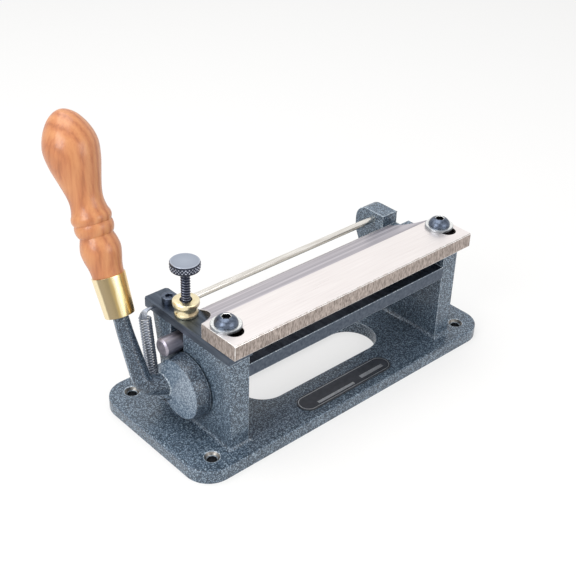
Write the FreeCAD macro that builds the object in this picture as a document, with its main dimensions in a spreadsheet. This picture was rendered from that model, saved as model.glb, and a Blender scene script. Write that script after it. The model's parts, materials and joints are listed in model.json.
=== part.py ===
"""Leather skiving machine, a bench tool in millimetres.

X runs along the blade, Y to the rear where the leather goes in, Z up.
The origin is the centre of the four bench bolt holes, on the underside of the base.
"""
import FreeCAD, Part
import Sketcher
import math
import os
import re

# Driving dimensions: name, value, what it is.
SIZES = [
    ("base_length", 270.0, "base plate along the blade"),
    ("base_depth", 116.0, "base plate front to rear"),
    ("base_thick", 9.5, "base plate thickness"),
    ("base_corner", 18.0, "corner radius of the base plate"),
    ("bolt_inset_x", 17.5, "bench bolts in from the ends of the base"),
    ("bolt_inset_y", 14.5, "bench bolts in from the front and rear of the base"),
    ("bolt_hole_radius", 3.3, "bench bolt hole"),
    ("bolt_sink_radius", 5.4, "countersink of a bench bolt hole"),
    ("window_length", 124.0, "opening in the base, end to end"),
    ("window_width", 38.6, "opening in the base, front to rear"),
    ("window_y", -5.3, "centre line of the opening in the base"),
    ("upright_outer", 104.8, "centre of the machine to an upright's outer face"),
    ("upright_wall", 15.0, "thickness of an upright"),
    ("upright_front", -46.7, "front face of the uprights"),
    ("upright_top", 76.5, "top of the left upright"),
    ("upright_rear_top", 34.0, "rear edge of the left upright at its top"),
    ("waist_y", 26.5, "rear edge of the uprights at the waist"),
    ("waist_height", 36.0, "height of the waist"),
    ("waist_radius", 40.0, "rounding of the waist"),
    ("upright_rear_foot", 31.0, "rear edge of the uprights at the base"),
    ("pad_rear", 1.6, "rear end of the blade seat on the right upright"),
    ("pad_lip", 0.4, "straight height above the sweep behind the blade seat"),
    ("ear_front", 13.4, "front of the rod ear on the right upright"),
    ("ear_rear", 41.0, "rear edge of the rod ear on the right upright"),
    ("ear_top", 86.0, "top of the rod ear"),
    ("ear_foot", 66.0, "height where the ear leaves the upright"),
    ("ear_radius", 11.0, "rounded rear corner of the ear"),
    ("foot_fillet", 3.0, "fillet where an upright meets the base"),
    ("casting_edge", 1.2, "rounding of the casting's free edges"),
    ("rail_depth", 12.0, "front rail, front to rear"),
    ("rail_height", 9.5, "front rail, top to bottom"),
    ("rail_top", 70.5, "top of the front rail"),
    ("bar_inside", 2.45, "how far the stop bar reaches in past the left upright"),
    ("bar_thick", 6.4, "stop bar thickness"),
    ("bar_rear", 40.6, "rear end of the stop bar"),
    ("bar_overhang", 1.6, "how far the stop bar stands out past the left upright"),
    ("bar_chamfer", 1.5, "cut corners at the rear of the stop bar"),
    ("screw_inset", 7.2, "blade screws in from the outer faces of the uprights, blade centred"),
    ("blade_overhang", 3.15, "blade beyond the outer faces of the uprights, blade centred"),
    ("blade_shift", 1.8, "how far right of centre the blade and its screws are"),
    ("blade_thick", 11.0, "splitting blade thickness"),
    ("blade_front", -52.3, "front face of the blade"),
    ("flat_rear", -20.3, "line where the flat top meets the bevel"),
    ("edge_y", 5.6, "cutting edge"),
    ("edge_land", 0.2, "height of the cutting edge's land"),
    ("blade_chamfer", 0.6, "broken corners of the blade"),
    ("notch_room", 0.4, "room between the blade's cut-out and the lock nut"),
    ("notch_front", -20.2, "front of the cut-out at each rear corner of the blade"),
    ("notch_radius", 22.0, "sweep of the cut-out"),
    ("blade_screw_y", -31.3, "blade screws"),
    ("slot_radius", 5.9, "half the width of a blade slot"),
    ("slot_ahead", 7.9, "front end of a blade slot ahead of its screw"),
    ("slot_behind", 2.1, "rear end of a blade slot behind its screw"),
    ("screw_radius", 3.97, "blade screw shank"),
    ("screw_head_radius", 7.6, "blade screw button head"),
    ("screw_head_height", 5.0, "blade screw button head"),
    ("screw_socket_radius", 3.15, "hexagon socket of a blade screw, across corners"),
    ("screw_depth", 20.0, "blade screw thread in the upright"),
    ("screw_dome", 3.5, "rounding of a button head"),
    ("screw_slack", 0.5, "room at the tip and side of a screw"),
    ("washer_radius", 10.0, "blade screw washer"),
    ("washer_thick", 1.9, "blade screw washer"),
    ("bar_screw_y", 25.4, "cap screw at the rear of the stop bar"),
    ("bar_screw_radius", 3.0, "cap screw shank"),
    ("bar_screw_head_radius", 4.9, "cap screw head"),
    ("bar_screw_head_height", 4.8, "cap screw head"),
    ("bar_screw_socket_radius", 2.7, "hexagon socket of the cap screw, across corners"),
    ("bar_screw_depth", 12.0, "cap screw thread in the upright"),
    ("rod_radius", 2.38, "guide rod"),
    ("rod_y", 23.6, "guide rod"),
    ("rod_bite", 4.0, "depth of the guide rod in the stop bar"),
    ("rod_seat", 10.0, "depth of the guide rod in the ear"),
    ("roller_y", 7.4, "roller axis"),
    ("roller_radius", 12.7, "feed roller"),
    ("shaft_radius", 6.35, "roller shaft"),
    ("shaft_overhang", 12.5, "roller shaft beyond an upright"),
    ("shaft_chamfer", 1.2, "chamfer at the ends of the shafts"),
    ("bush_radius", 8.0, "outside of the bronze bushes"),
    ("roller_bush_length", 16.0, "bush in the end of the roller"),
    ("roller_bore_radius", 7.2, "bore of the roller between its bushes"),
    ("roller_chamfer", 0.6, "chamfer at the ends of the roller"),
    ("bush_flange_radius", 9.6, "flange of a roller bush"),
    ("bush_flange_thick", 1.6, "flange of a roller bush"),
    ("ring_radius", 8.6, "retaining ring"),
    ("ring_thick", 1.0, "retaining ring"),
    ("ring_groove", 0.8, "depth of a retaining ring's groove"),
    ("side_gap", 0.3, "play between parts side by side on a shaft"),
    ("pivot_y", -14.0, "lever shaft axis"),
    ("pivot_z", 41.0, "lever shaft axis"),
    ("cam_y", -6.5, "centre of the cam discs"),
    ("cam_z", 39.8, "centre of the cam discs"),
    ("cam_back_radius", 22.6, "cam disc beside the upright"),
    ("cam_face_radius", 21.0, "cam disc at its outer face"),
    ("cam_thick", 10.0, "cam disc thickness"),
    ("cam_washer_radius", 10.5, "washer between cam disc and upright"),
    ("cam_washer_thick", 0.8, "washer between cam disc and upright"),
    ("cam_edge", 1.0, "rounded rim of a cam disc's outer face"),
    ("cam_screw_radius", 2.5, "set screw in a cam disc"),
    ("cam_screw_bite", 1.5, "depth of a set screw in the lever shaft"),
    ("cam_screw_inset", 1.0, "set screw below the rim of its disc"),
    ("lever_skin", 3.0, "solid face of the lever's disc over the shaft's end"),
    ("shaft_stub", 1.5, "lever shaft beyond the right disc"),
    ("lever_swing", 22.0, "lever travel from the stop to the rear, degrees"),
    ("lift_rate", 8.1, "roller travel per radian of lever travel"),
    ("slot_slack", 0.5, "room below the roller shaft at its lowest"),
    ("arm_reach", 12.1, "handle's axis out from the disc's face"),
    ("arm_root_y", 6.0, "arm centre line where it leaves the disc"),
    ("arm_root_z", 35.3, "arm centre line where it leaves the disc"),
    ("arm_root_radius", 7.4, "arm at the disc"),
    ("arm_tip_radius", 5.1, "arm at the ferrule"),
    ("elbow_y", 13.5, "corner of the arm beside the disc"),
    ("elbow_z", 37.6, "corner of the arm beside the disc"),
    ("knee_below", 14.0, "straight of the arm below the ferrule"),
    ("elbow_radius", 8.0, "bend of the arm beside the disc"),
    ("knee_radius", 40.0, "bend of the arm below the ferrule"),
    ("handle_y", 36.2, "handle axis where the ferrule starts"),
    ("handle_z", 81.8, "handle axis where the ferrule starts"),
    ("handle_lean", 23.0, "rearward lean of the handle, degrees"),
    ("tang_radius", 3.5, "tang inside the wood"),
    ("tang_length", 70.0, "tang beyond the start of the ferrule"),
    ("ferrule_length", 26.0, "brass ferrule"),
    ("ferrule_low_radius", 9.8, "ferrule at the arm"),
    ("ferrule_high_radius", 11.0, "ferrule at the wood"),
    ("ferrule_lip", 1.0, "ferrule below the end of the arm"),
    ("ferrule_wall", 1.2, "ferrule wall"),
    ("tenon_start", 3.0, "start of the wood inside the ferrule"),
    ("wood_length", 106.2, "wood beyond the ferrule"),
    ("wood_start_radius", 10.2, "wood where it leaves the ferrule"),
    ("wood_bulb_at", 18.5, "first swelling, from the ferrule's end"),
    ("wood_bulb_radius", 12.3, "first swelling"),
    ("wood_groove_at", 26.5, "groove above the first swelling"),
    ("wood_groove_radius", 10.1, "groove above the first swelling"),
    ("wood_bead_at", 31.6, "lower bead"),
    ("wood_bead_radius", 12.3, "lower bead"),
    ("wood_valley_at", 35.4, "valley between the beads"),
    ("wood_valley_radius", 11.0, "valley between the beads"),
    ("wood_ring_at", 38.6, "upper bead"),
    ("wood_ring_radius", 12.3, "upper bead"),
    ("wood_throat_at", 41.6, "foot of the upper bead"),
    ("wood_throat_radius", 11.0, "foot of the upper bead"),
    ("wood_neck_at", 47.0, "neck of the grip"),
    ("wood_neck_radius", 10.2, "neck of the grip"),
    ("wood_rise_at", 66.0, "rise of the grip"),
    ("wood_rise_radius", 13.9, "rise of the grip"),
    ("wood_belly_at", 85.0, "widest part of the grip"),
    ("wood_belly_radius", 17.2, "widest part of the grip"),
    ("wood_dome_at", 102.0, "where the dome closes in"),
    ("wood_dome_radius", 10.9, "where the dome closes in"),
    ("stud_radius", 3.175, "thumb screw thread"),
    ("stud_length", 44.6, "thumb screw below its head"),
    ("knob_radius", 10.0, "thumb screw head"),
    ("knob_height", 5.9, "thumb screw head"),
    ("knob_skin", 1.0, "closed top of the thumb screw head over the stud"),
    ("stud_chamfer", 0.6, "chamfer at the thumb screw's tip"),
    ("knob_chamfer", 0.8, "thumb screw head"),
    ("nut_height", 10.9, "lock nut"),
    ("nut_radius", 8.8, "upper flange of the lock nut"),
    ("nut_flange", 3.4, "height of the upper flange"),
    ("nut_waist_radius", 6.9, "neck of the lock nut"),
    ("nut_foot_radius", 7.7, "foot of the lock nut"),
    ("nut_foot", 2.6, "height of the foot"),
    ("nut_blend", 0.8, "slope between the neck and its flanges"),
    ("spring_wire", 1.0, "spring wire diameter"),
    ("spring_radius", 3.4, "spring, centre of the wire"),
    ("spring_turns", 28.0, "whole turns of the spring"),
    ("spring_turn_on", 144.0, "further turn of the coils before the upper end, degrees"),
    ("spring_top_out", 5.6, "upper end of the coils, out from the stop bar's face"),
    ("spring_top_y", 31.6, "upper end of the coils"),
    ("spring_top_z", 73.0, "upper end of the coils"),
    ("hook_bite", 3.0, "depth of the spring's holes"),
    ("spring_hook", 1.6, "bend radius of the spring's lower end"),
    ("spring_loop", 4.4, "bend radius of the spring's upper end"),
    ("hook_rise", 4.8, "end of the coils to the hook's wire"),
    ("lug_y", 24.0, "spring hole in the lug"),
    ("lug_z", 26.9, "spring hole in the lug"),
    ("lug_inset", 5.3, "outer face of the lug behind the disc's face"),
    ("lug_thick", 4.2, "spring lug on the lever"),
    ("lug_radius", 3.0, "rounded end of the spring lug"),
    ("plate_length", 85.0, "bare name plate"),
    ("plate_width", 16.0, "bare name plate"),
    ("plate_thick", 0.8, "bare name plate"),
    ("plate_y", -43.6, "bare name plate"),
    ("seat_gap", 0.05, "play under a turning nut"),
    ("fit", 0.05, "radial clearance of a running fit"),
    ("contact", 0.1, "play between the cams, the roller shaft and the thumb screw"),
]

# Sizes that follow from the driving ones, as expressions of their names.
UPRIGHT_INNER = "(upright_outer - upright_wall)"
BLADE_UNDER = "(upright_top + bar_thick)"
BLADE_TOP = f"({BLADE_UNDER} + blade_thick)"
ROD_Z = "(upright_top + bar_thick / 2)"
CAM_REACH = "(cam_back_radius + shaft_radius + contact)"
ROLLER_Z = f"(cam_z + sqrt({CAM_REACH}^2 - (roller_y - cam_y)^2))"
CAM_BACK = "(upright_outer + cam_washer_thick + side_gap)"
CAM_FACE = f"({CAM_BACK} + cam_thick)"
RING_OUTER = f"({UPRIGHT_INNER} - side_gap)"
ROLLER_END = f"({RING_OUTER} - ring_thick - side_gap - bush_flange_thick)"
STUD_TIP = f"({ROLLER_Z} + shaft_radius + contact)"
BAR_LEFT = "(upright_outer + bar_overhang)"
BAR_RIGHT = f"({UPRIGHT_INNER} - bar_inside)"
STUD_X = f"(({BAR_LEFT} + {BAR_RIGHT}) / 2)"
SCREW_X = {"left": "(blade_shift - upright_outer + screw_inset)",
           "right": "(blade_shift + upright_outer - screw_inset)"}
NOTCH_INNER = f"({STUD_X} - nut_radius - notch_room)"
ARM_PLANE = f"({CAM_FACE} + arm_reach)"
ROLLER_DROP = "(lift_rate * lever_swing * pi / 180)"
SLOT_LOW = f"({ROLLER_Z} - {ROLLER_DROP} - slot_slack)"
CAM_MIDDLE = f"({CAM_BACK} + cam_thick / 2)"
CAM_MIDDLE_RADIUS = "((cam_back_radius + cam_face_radius) / 2)"
RUNNING_RADIUS = "(shaft_radius + fit)"

# Lengths and turns below TINY count as none; LOOK is how far round a feature edges are sought.
TINY = 1e-6
LOOK = 1.0

document = FreeCAD.newDocument("skiving_machine")
sheet = document.addObject("Spreadsheet::Sheet", "sizes")
for row, (alias, number, meaning) in enumerate(SIZES, start=1):
    sheet.set(f"A{row}", meaning)
    sheet.set(f"B{row}", str(number))
    sheet.setAlias(f"B{row}", alias)
document.recompute()
ALIASES = {alias for alias, number, meaning in SIZES}


def linked(expression):
    """The expression with every size name pointing at the sheet."""
    def point(match):
        word = match.group(0)
        return f"sizes.{word}" if word in ALIASES else word
    return re.sub(r"[A-Za-z_]\w*", point, str(expression))


def size(expression):
    """The value of an expression of sizes, as a number."""
    return float(sheet.evalExpression(str(expression)))


def bind(feature, target, expression):
    feature.setExpression(target, linked(expression))


def place(feature, x="0", y="0", z="0"):
    """Bind a feature's position to the sheet."""
    for letter, expression in zip("xyz", (x, y, z)):
        bind(feature, f"Placement.Base.{letter}", expression)


def new_body(name):
    return document.addObject("PartDesign::Body", name)


def origin_plane(body, role):
    return next(plane for plane in body.Origin.OriginFeatures if plane.Role == role)


def new_sketch(body, name, role, offset="0"):
    """A sketch on one of the body's own planes, moved along the plane's normal."""
    sketch = body.newObject("Sketcher::SketchObject", name)
    sketch.AttachmentSupport = [(origin_plane(body, role), "")]
    sketch.MapMode = "FlatFace"
    bind(sketch, "AttachmentOffset.Base.z", offset)
    return sketch


def hold(sketch, kind, entity, vertex, expression):
    """Fix one coordinate of a sketch point, measured from the sketch's origin."""
    distance = size(expression)
    if abs(distance) < TINY:
        line = -2 if kind == "DistanceX" else -1
        sketch.addConstraint(Sketcher.Constraint("PointOnObject", entity, vertex, line))
        return
    ends = (-1, 1, entity, vertex) if distance > 0 else (entity, vertex, -1, 1)
    signed = expression if distance > 0 else f"-({expression})"
    index = sketch.addConstraint(Sketcher.Constraint(kind, *ends, abs(distance)))
    bind(sketch, f"Constraints[{index}]", signed)


def polygon(sketch, corners):
    """A closed outline; each corner is a pair of expressions."""
    first = sketch.GeometryCount
    spots = [FreeCAD.Vector(size(across), size(up), 0) for across, up in corners]
    for index, spot in enumerate(spots):
        sketch.addGeometry(Part.LineSegment(spot, spots[(index + 1) % len(spots)]), False)
    for index, (across, up) in enumerate(corners):
        previous = first + (index - 1) % len(corners)
        sketch.addConstraint(Sketcher.Constraint("Coincident", previous, 2, first + index, 1))
        hold(sketch, "DistanceX", first + index, 1, across)
        hold(sketch, "DistanceY", first + index, 1, up)


def rectangle(sketch, left, right, low, high):
    polygon(sketch, [(left, low), (right, low), (right, high), (left, high)])


def circle(sketch, across, up, radius):
    centre = FreeCAD.Vector(size(across), size(up), 0)
    index = sketch.addGeometry(Part.Circle(centre, FreeCAD.Vector(0, 0, 1), size(radius)), False)
    hold(sketch, "DistanceX", index, 3, across)
    hold(sketch, "DistanceY", index, 3, up)
    rim = sketch.addConstraint(Sketcher.Constraint("Radius", index, size(radius)))
    bind(sketch, f"Constraints[{rim}]", radius)


def obround(sketch, start, end, radius):
    """A slot outline about two centres."""
    one = FreeCAD.Vector(size(start[0]), size(start[1]), 0)
    two = FreeCAD.Vector(size(end[0]), size(end[1]), 0)
    along = (two - one).normalize()
    side = FreeCAD.Vector(-along.y, along.x, 0) * size(radius)
    turn = math.atan2(side.y, side.x)
    up = FreeCAD.Vector(0, 0, 1)
    first = sketch.GeometryCount
    arcs = ((one, turn, turn + math.pi), (two, turn - math.pi, turn))
    for centre, low, high in arcs:
        arc = Part.ArcOfCircle(Part.Circle(centre, up, size(radius)), low, high)
        sketch.addGeometry(arc, False)
    sketch.addGeometry(Part.LineSegment(one - side, two - side), False)
    sketch.addGeometry(Part.LineSegment(two + side, one + side), False)
    for pair in ((first, 2, first + 2, 1), (first + 2, 2, first + 1, 1),
                 (first + 1, 2, first + 3, 1), (first + 3, 2, first, 1)):
        sketch.addConstraint(Sketcher.Constraint("Tangent", *pair))
    for index, (across, rise) in ((first, start), (first + 1, end)):
        hold(sketch, "DistanceX", index, 3, across)
        hold(sketch, "DistanceY", index, 3, rise)
    rim = sketch.addConstraint(Sketcher.Constraint("Radius", first, size(radius)))
    bind(sketch, f"Constraints[{rim}]", radius)


def extrude(body, kind, sketch, length, middle=False, reverse=False):
    """Pad or pocket a sketch by a bound length."""
    feature = body.newObject(f"PartDesign::{kind}", f"{sketch.Name}_{kind.lower()}")
    feature.Profile = sketch
    bind(feature, "Length", length)
    feature.Midplane = middle
    feature.Reversed = reverse
    sketch.Visibility = False
    return feature


def dress(body, kind, name, amount, chosen):
    """Fillet or chamfer the edges of the body's tip that the rule picks."""
    document.recompute()
    tip = body.Tip
    names = [f"Edge{n}" for n, edge in enumerate(tip.Shape.Edges, start=1) if chosen(edge)]
    feature = body.newObject(f"PartDesign::{kind}", name)
    feature.Base = (tip, names)
    bind(feature, "Radius" if kind == "Fillet" else "Size", amount)
    return feature


def near(number, expression, slack=0.01):
    return abs(number - size(expression)) < slack


def runs_along(edge, letter):
    """True for a straight edge along the X, Y or Z axis."""
    if len(edge.Vertexes) != 2 or edge.Curve.TypeId != "Part::GeomLine":
        return False
    return abs(abs(getattr(edge.tangentAt(edge.FirstParameter), letter)) - 1) < TINY


def turned(name, profile):
    """A solid of revolution about its own Z; each profile corner is (radius, height)."""
    body = new_body(name)
    sketch = new_sketch(body, f"{name}_profile", "XZ_Plane")
    polygon(sketch, profile)
    revolution = body.newObject("PartDesign::Revolution", f"{name}_turned")
    revolution.Profile = sketch
    revolution.ReferenceAxis = (sketch, ["V_Axis"])
    revolution.Angle = 360
    sketch.Visibility = False
    return body


def lay_along_x(body, mirrored=False):
    """Turn a body so that its own Z points to the right, or to the left if mirrored."""
    angle = -90 if mirrored else 90
    body.Placement.Rotation = FreeCAD.Rotation(FreeCAD.Vector(0, 1, 0), angle)


def tube(inner, outer, low, high):
    return [(inner, low), (outer, low), (outer, high), (inner, high)]


def group(name, members):
    compound = document.addObject("Part::Compound", name)
    compound.Links = members
    return compound


def frame_casting():
    """Base plate, two uprights, front rail and rod ear, cast in one piece."""
    body = new_body("frame_casting")
    half_x, half_y = "base_length / 2", "base_depth / 2"
    outline = new_sketch(body, "base_outline", "XY_Plane")
    rectangle(outline, f"-{half_x}", half_x, f"-{half_y}", half_y)
    extrude(body, "Pad", outline, "base_thick")
    dress(body, "Fillet", "base_corners", "base_corner", lambda edge: runs_along(edge, "z"))

    foot = [("upright_front", "base_thick / 2"), ("upright_rear_foot", "base_thick / 2"),
            ("upright_rear_foot", "base_thick"), ("waist_y", "waist_height")]
    left = new_sketch(body, "left_upright", "YZ_Plane", "-upright_outer")
    polygon(left, foot + [("upright_rear_top", "upright_top"), ("upright_front", "upright_top")])
    extrude(body, "Pad", left, "upright_wall")
    right = new_sketch(body, "right_upright", "YZ_Plane", UPRIGHT_INNER)
    polygon(right, foot + [("ear_rear", "ear_foot"), ("ear_rear", "ear_top"),
                           ("ear_front", "ear_top"), ("ear_front", "upright_top"),
                           ("pad_rear", "upright_top"), ("pad_rear", BLADE_UNDER),
                           ("upright_front", BLADE_UNDER)])
    extrude(body, "Pad", right, "upright_wall")
    rail = new_sketch(body, "front_rail", "YZ_Plane")
    rectangle(rail, "upright_front", "upright_front + rail_depth",
              "rail_top - rail_height", "rail_top")
    extrude(body, "Pad", rail, "2 * upright_outer - upright_wall", middle=True)

    def corner(name, amount, across, up):
        dress(body, "Fillet", name, amount,
              lambda edge: runs_along(edge, "x") and near(edge.CenterOfMass.y, across)
              and near(edge.CenterOfMass.z, up))
    corner("waists", "waist_radius", "waist_y", "waist_height")
    corner("ear_corner", "ear_radius", "ear_rear", "ear_top")
    corner("seat_sweep", "bar_thick - pad_lip", "pad_rear", "upright_top")
    dress(body, "Fillet", "outer_edges", "casting_edge", on_outer_face)
    dress(body, "Fillet", "feet", "foot_fillet", at_upright_foot)
    dress(body, "Fillet", "base_edge", "casting_edge",
          lambda edge: at_height(edge, "base_thick") and not inside_uprights(edge))

    window = new_sketch(body, "base_window", "XY_Plane")
    reach = "(window_length - window_width) / 2"
    obround(window, (f"-{reach}", "window_y"), (reach, "window_y"), "window_width / 2")
    extrude(body, "Pocket", window, "base_thick", reverse=True)
    bolts = new_sketch(body, "bench_bolt_holes", "XY_Plane")
    for side in ("-", ""):
        for end in ("-", ""):
            circle(bolts, f"{side}({half_x} - bolt_inset_x)", f"{end}({half_y} - bolt_inset_y)",
                   "bolt_hole_radius")
    extrude(body, "Pocket", bolts, "base_thick", reverse=True)
    dress(body, "Chamfer", "bolt_countersinks", "bolt_sink_radius - bolt_hole_radius",
          lambda edge: at_height(edge, "base_thick")
          and near(edge.BoundBox.XLength, "2 * bolt_hole_radius"))

    open_slot = new_sketch(body, "left_shaft_slot", "YZ_Plane", "-upright_outer")
    obround(open_slot, ("roller_y", SLOT_LOW), ("roller_y", f"upright_top + 2 * {RUNNING_RADIUS}"),
            RUNNING_RADIUS)
    extrude(body, "Pocket", open_slot, "upright_wall", reverse=True)
    closed_slot = new_sketch(body, "right_shaft_slot", "YZ_Plane", UPRIGHT_INNER)
    obround(closed_slot, ("roller_y", SLOT_LOW), ("roller_y", f"{ROLLER_Z} + contact - fit"),
            RUNNING_RADIUS)
    extrude(body, "Pocket", closed_slot, "upright_wall", reverse=True)
    pivot = new_sketch(body, "lever_shaft_holes", "YZ_Plane")
    circle(pivot, "pivot_y", "pivot_z", "bush_radius")
    extrude(body, "Pocket", pivot, "2 * upright_outer", middle=True)
    rod = new_sketch(body, "rod_seat_hole", "YZ_Plane", UPRIGHT_INNER)
    circle(rod, "rod_y", ROD_Z, "rod_radius")
    extrude(body, "Pocket", rod, "rod_seat", reverse=True)
    for name, top in (("left", "upright_top"), ("right", BLADE_UNDER)):
        hole = new_sketch(body, f"{name}_blade_screw_hole", "XY_Plane", top)
        circle(hole, SCREW_X[name], "blade_screw_y", "screw_radius")
        extrude(body, "Pocket", hole, "screw_depth")
    hole = new_sketch(body, "bar_screw_hole", "XY_Plane", "upright_top")
    circle(hole, f"-{STUD_X}", "bar_screw_y", "bar_screw_radius")
    extrude(body, "Pocket", hole, "bar_screw_depth")
    return body


def at_height(edge, expression):
    """True for an edge that lies level at a height."""
    box = edge.BoundBox
    return near(box.ZMin, expression) and near(box.ZMax, expression)


def inside_uprights(edge):
    """True for an edge over the stretch of the base that the uprights stand on."""
    centre = edge.CenterOfMass
    return (abs(centre.x) < size("upright_outer") + LOOK
            and size("upright_front") - LOOK < centre.y < size("upright_rear_foot") + LOOK)


def at_upright_foot(edge):
    return at_height(edge, "base_thick") and inside_uprights(edge)


def on_outer_face(edge):
    """The outline of an upright's outer face, without its foot and its machined seats."""
    box = edge.BoundBox
    level = at_height(edge, "upright_top") or at_height(edge, BLADE_UNDER)
    flat = near(box.XMax, box.XMin) and near(abs(box.XMin), "upright_outer")
    sweep = box.ZMin > size("upright_top") - LOOK and box.YMax < size("ear_front") + LOOK
    return flat and not level and not sweep and not at_height(edge, "base_thick")


def stop_bar():
    """Flat bar under the blade's left end, which carries the thumb screw and the guide rod."""
    body = new_body("stop_bar")
    outline = new_sketch(body, "bar_outline", "XY_Plane", "upright_top")
    rectangle(outline, f"-{BAR_LEFT}", f"-{BAR_RIGHT}", "upright_front", "bar_rear")
    extrude(body, "Pad", outline, "bar_thick")
    dress(body, "Chamfer", "bar_corners", "bar_chamfer",
          lambda edge: runs_along(edge, "z") and near(edge.CenterOfMass.y, "bar_rear"))
    holes = new_sketch(body, "bar_holes", "XY_Plane", "upright_top")
    circle(holes, SCREW_X["left"], "blade_screw_y", "screw_radius + screw_slack")
    circle(holes, f"-{STUD_X}", "roller_y", "stud_radius + fit")
    circle(holes, f"-{STUD_X}", "bar_screw_y", "bar_screw_radius + fit")
    extrude(body, "Pocket", holes, "bar_thick", reverse=True)
    rod = new_sketch(body, "bar_rod_hole", "YZ_Plane", f"-{BAR_RIGHT} - rod_bite")
    circle(rod, "rod_y", ROD_Z, "rod_radius")
    extrude(body, "Pocket", rod, "rod_bite", reverse=True)
    hook = new_sketch(body, "bar_hook_hole", "YZ_Plane", f"-{BAR_LEFT}")
    circle(hook, "spring_top_y", ROD_Z, "spring_wire / 2 + fit")
    extrude(body, "Pocket", hook, "hook_bite", reverse=True)
    return body


def splitting_blade():
    """Wide flat blade, bevelled down to an edge over the roller, slotted for its screws."""
    body = new_body("splitting_blade")
    section = new_sketch(body, "blade_section", "YZ_Plane", "blade_shift")
    polygon(section, [("blade_front", BLADE_UNDER), ("edge_y", BLADE_UNDER),
                      ("edge_y", f"{BLADE_UNDER} + edge_land"),
                      ("flat_rear", BLADE_TOP), ("blade_front", BLADE_TOP)])
    extrude(body, "Pad", section, "2 * (upright_outer + blade_overhang)", middle=True)
    notches = new_sketch(body, "blade_notches", "XY_Plane", BLADE_UNDER)
    for side in ("-", ""):
        line = f"{side}({NOTCH_INNER} + notch_radius)"
        obround(notches, (line, "notch_front + notch_radius"), (line, "edge_y + notch_radius"),
                "notch_radius")
    extrude(body, "Pocket", notches, "blade_thick", reverse=True)
    slots = new_sketch(body, "blade_slots", "XY_Plane", BLADE_UNDER)
    for line in SCREW_X.values():
        obround(slots, (line, "blade_screw_y - slot_ahead"), (line, "blade_screw_y + slot_behind"),
                "slot_radius")
    extrude(body, "Pocket", slots, "blade_thick", reverse=True)
    dress(body, "Chamfer", "blade_edges", "blade_chamfer",
          lambda edge: runs_along(edge, "x") and near(edge.CenterOfMass.y, "blade_front"))
    return body


def hex_socket(body, top, corner, depth):
    """A hexagon recess about the body's own Z, cut down from a height."""
    sketch = new_sketch(body, f"{body.Name}_socket", "XY_Plane", top)
    corners = [(f"{corner} * {math.cos(math.radians(60 * step)):.6f}",
                f"{corner} * {math.sin(math.radians(60 * step)):.6f}") for step in range(6)]
    polygon(sketch, corners)
    extrude(body, "Pocket", sketch, depth)


def button_screw(name, length):
    """Button head screw with its tip at its own origin and its head up."""
    head = f"({length} + screw_head_height)"
    body = turned(name, [("0", "0"), ("screw_radius", "0"), ("screw_radius", length),
                         ("screw_head_radius", length), ("screw_head_radius", head), ("0", head)])
    dress(body, "Fillet", f"{name}_dome", "screw_dome",
          lambda edge: at_height(edge, head) and len(edge.Vertexes) == 1)
    hex_socket(body, head, "screw_socket_radius", "screw_head_height / 2")
    return body


def blade_screws():
    """Two button head screws that clamp the blade down on its seats."""
    screws = []
    for name, top in (("left", "upright_top"), ("right", BLADE_UNDER)):
        low = f"({top} - screw_depth + screw_slack)"
        body = button_screw(f"{name}_blade_screw", f"({BLADE_TOP} + washer_thick - {low})")
        place(body, SCREW_X[name], "blade_screw_y", low)
        screws.append(body)
    return group("blade_screws", screws)


def blade_washers():
    """Thick washers that bridge the blade's slots."""
    washers = []
    for name, line in SCREW_X.items():
        body = turned(f"{name}_blade_washer",
                      tube("screw_radius + fit", "washer_radius", "0", "washer_thick"))
        place(body, line, "blade_screw_y", BLADE_TOP)
        washers.append(body)
    return group("blade_washers", washers)


def stop_bar_screw():
    """Socket cap screw at the rear of the stop bar."""
    shank = "(bar_thick + bar_screw_depth - screw_slack)"
    head = f"{shank} + bar_screw_head_height"
    body = turned("stop_bar_screw", [("0", "0"), ("bar_screw_radius", "0"),
                                     ("bar_screw_radius", shank), ("bar_screw_head_radius", shank),
                                     ("bar_screw_head_radius", head), ("0", head)])
    hex_socket(body, head, "bar_screw_socket_radius", "bar_screw_head_height / 2")
    place(body, f"-{STUD_X}", "bar_screw_y", f"{BLADE_UNDER} - {shank}")
    return body


def guide_rod():
    """Thin rod behind the edge, from the stop bar to the ear."""
    left = f"({BAR_RIGHT} + rod_bite)"
    rod = document.addObject("Part::Cylinder", "guide_rod")
    bind(rod, "Radius", "rod_radius")
    bind(rod, "Height", f"{left} + {UPRIGHT_INNER} + rod_seat")
    lay_along_x(rod)
    place(rod, f"-{left}", "rod_y", ROD_Z)
    return rod


def both_ends(name, profile, start, across, up):
    """Two like turned pieces facing away from each other, each starting at a distance."""
    pair = []
    for word, sign in (("left", "-"), ("right", "")):
        body = turned(f"{word}_{name}", profile)
        lay_along_x(body, mirrored=word == "left")
        place(body, f"{sign}({start})", across, up)
        pair.append(body)
    return group(name, pair)


def lever_shaft_bushes():
    return both_ends("lever_shaft_bushes", tube(RUNNING_RADIUS, "bush_radius", "0", "upright_wall"),
                     UPRIGHT_INNER, "pivot_y", "pivot_z")


def cam_washers():
    """Thin washers between the cam discs and the uprights."""
    profile = tube(RUNNING_RADIUS, "cam_washer_radius", "0", "cam_washer_thick")
    return both_ends("cam_washers", profile, f"{CAM_BACK} - cam_washer_thick",
                     "pivot_y", "pivot_z")


def shaft_profile(length):
    return [("0", "0"), ("shaft_radius - shaft_chamfer", "0"), ("shaft_radius", "shaft_chamfer"),
            ("shaft_radius", f"{length} - shaft_chamfer"),
            ("shaft_radius - shaft_chamfer", length), ("0", length)]


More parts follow.
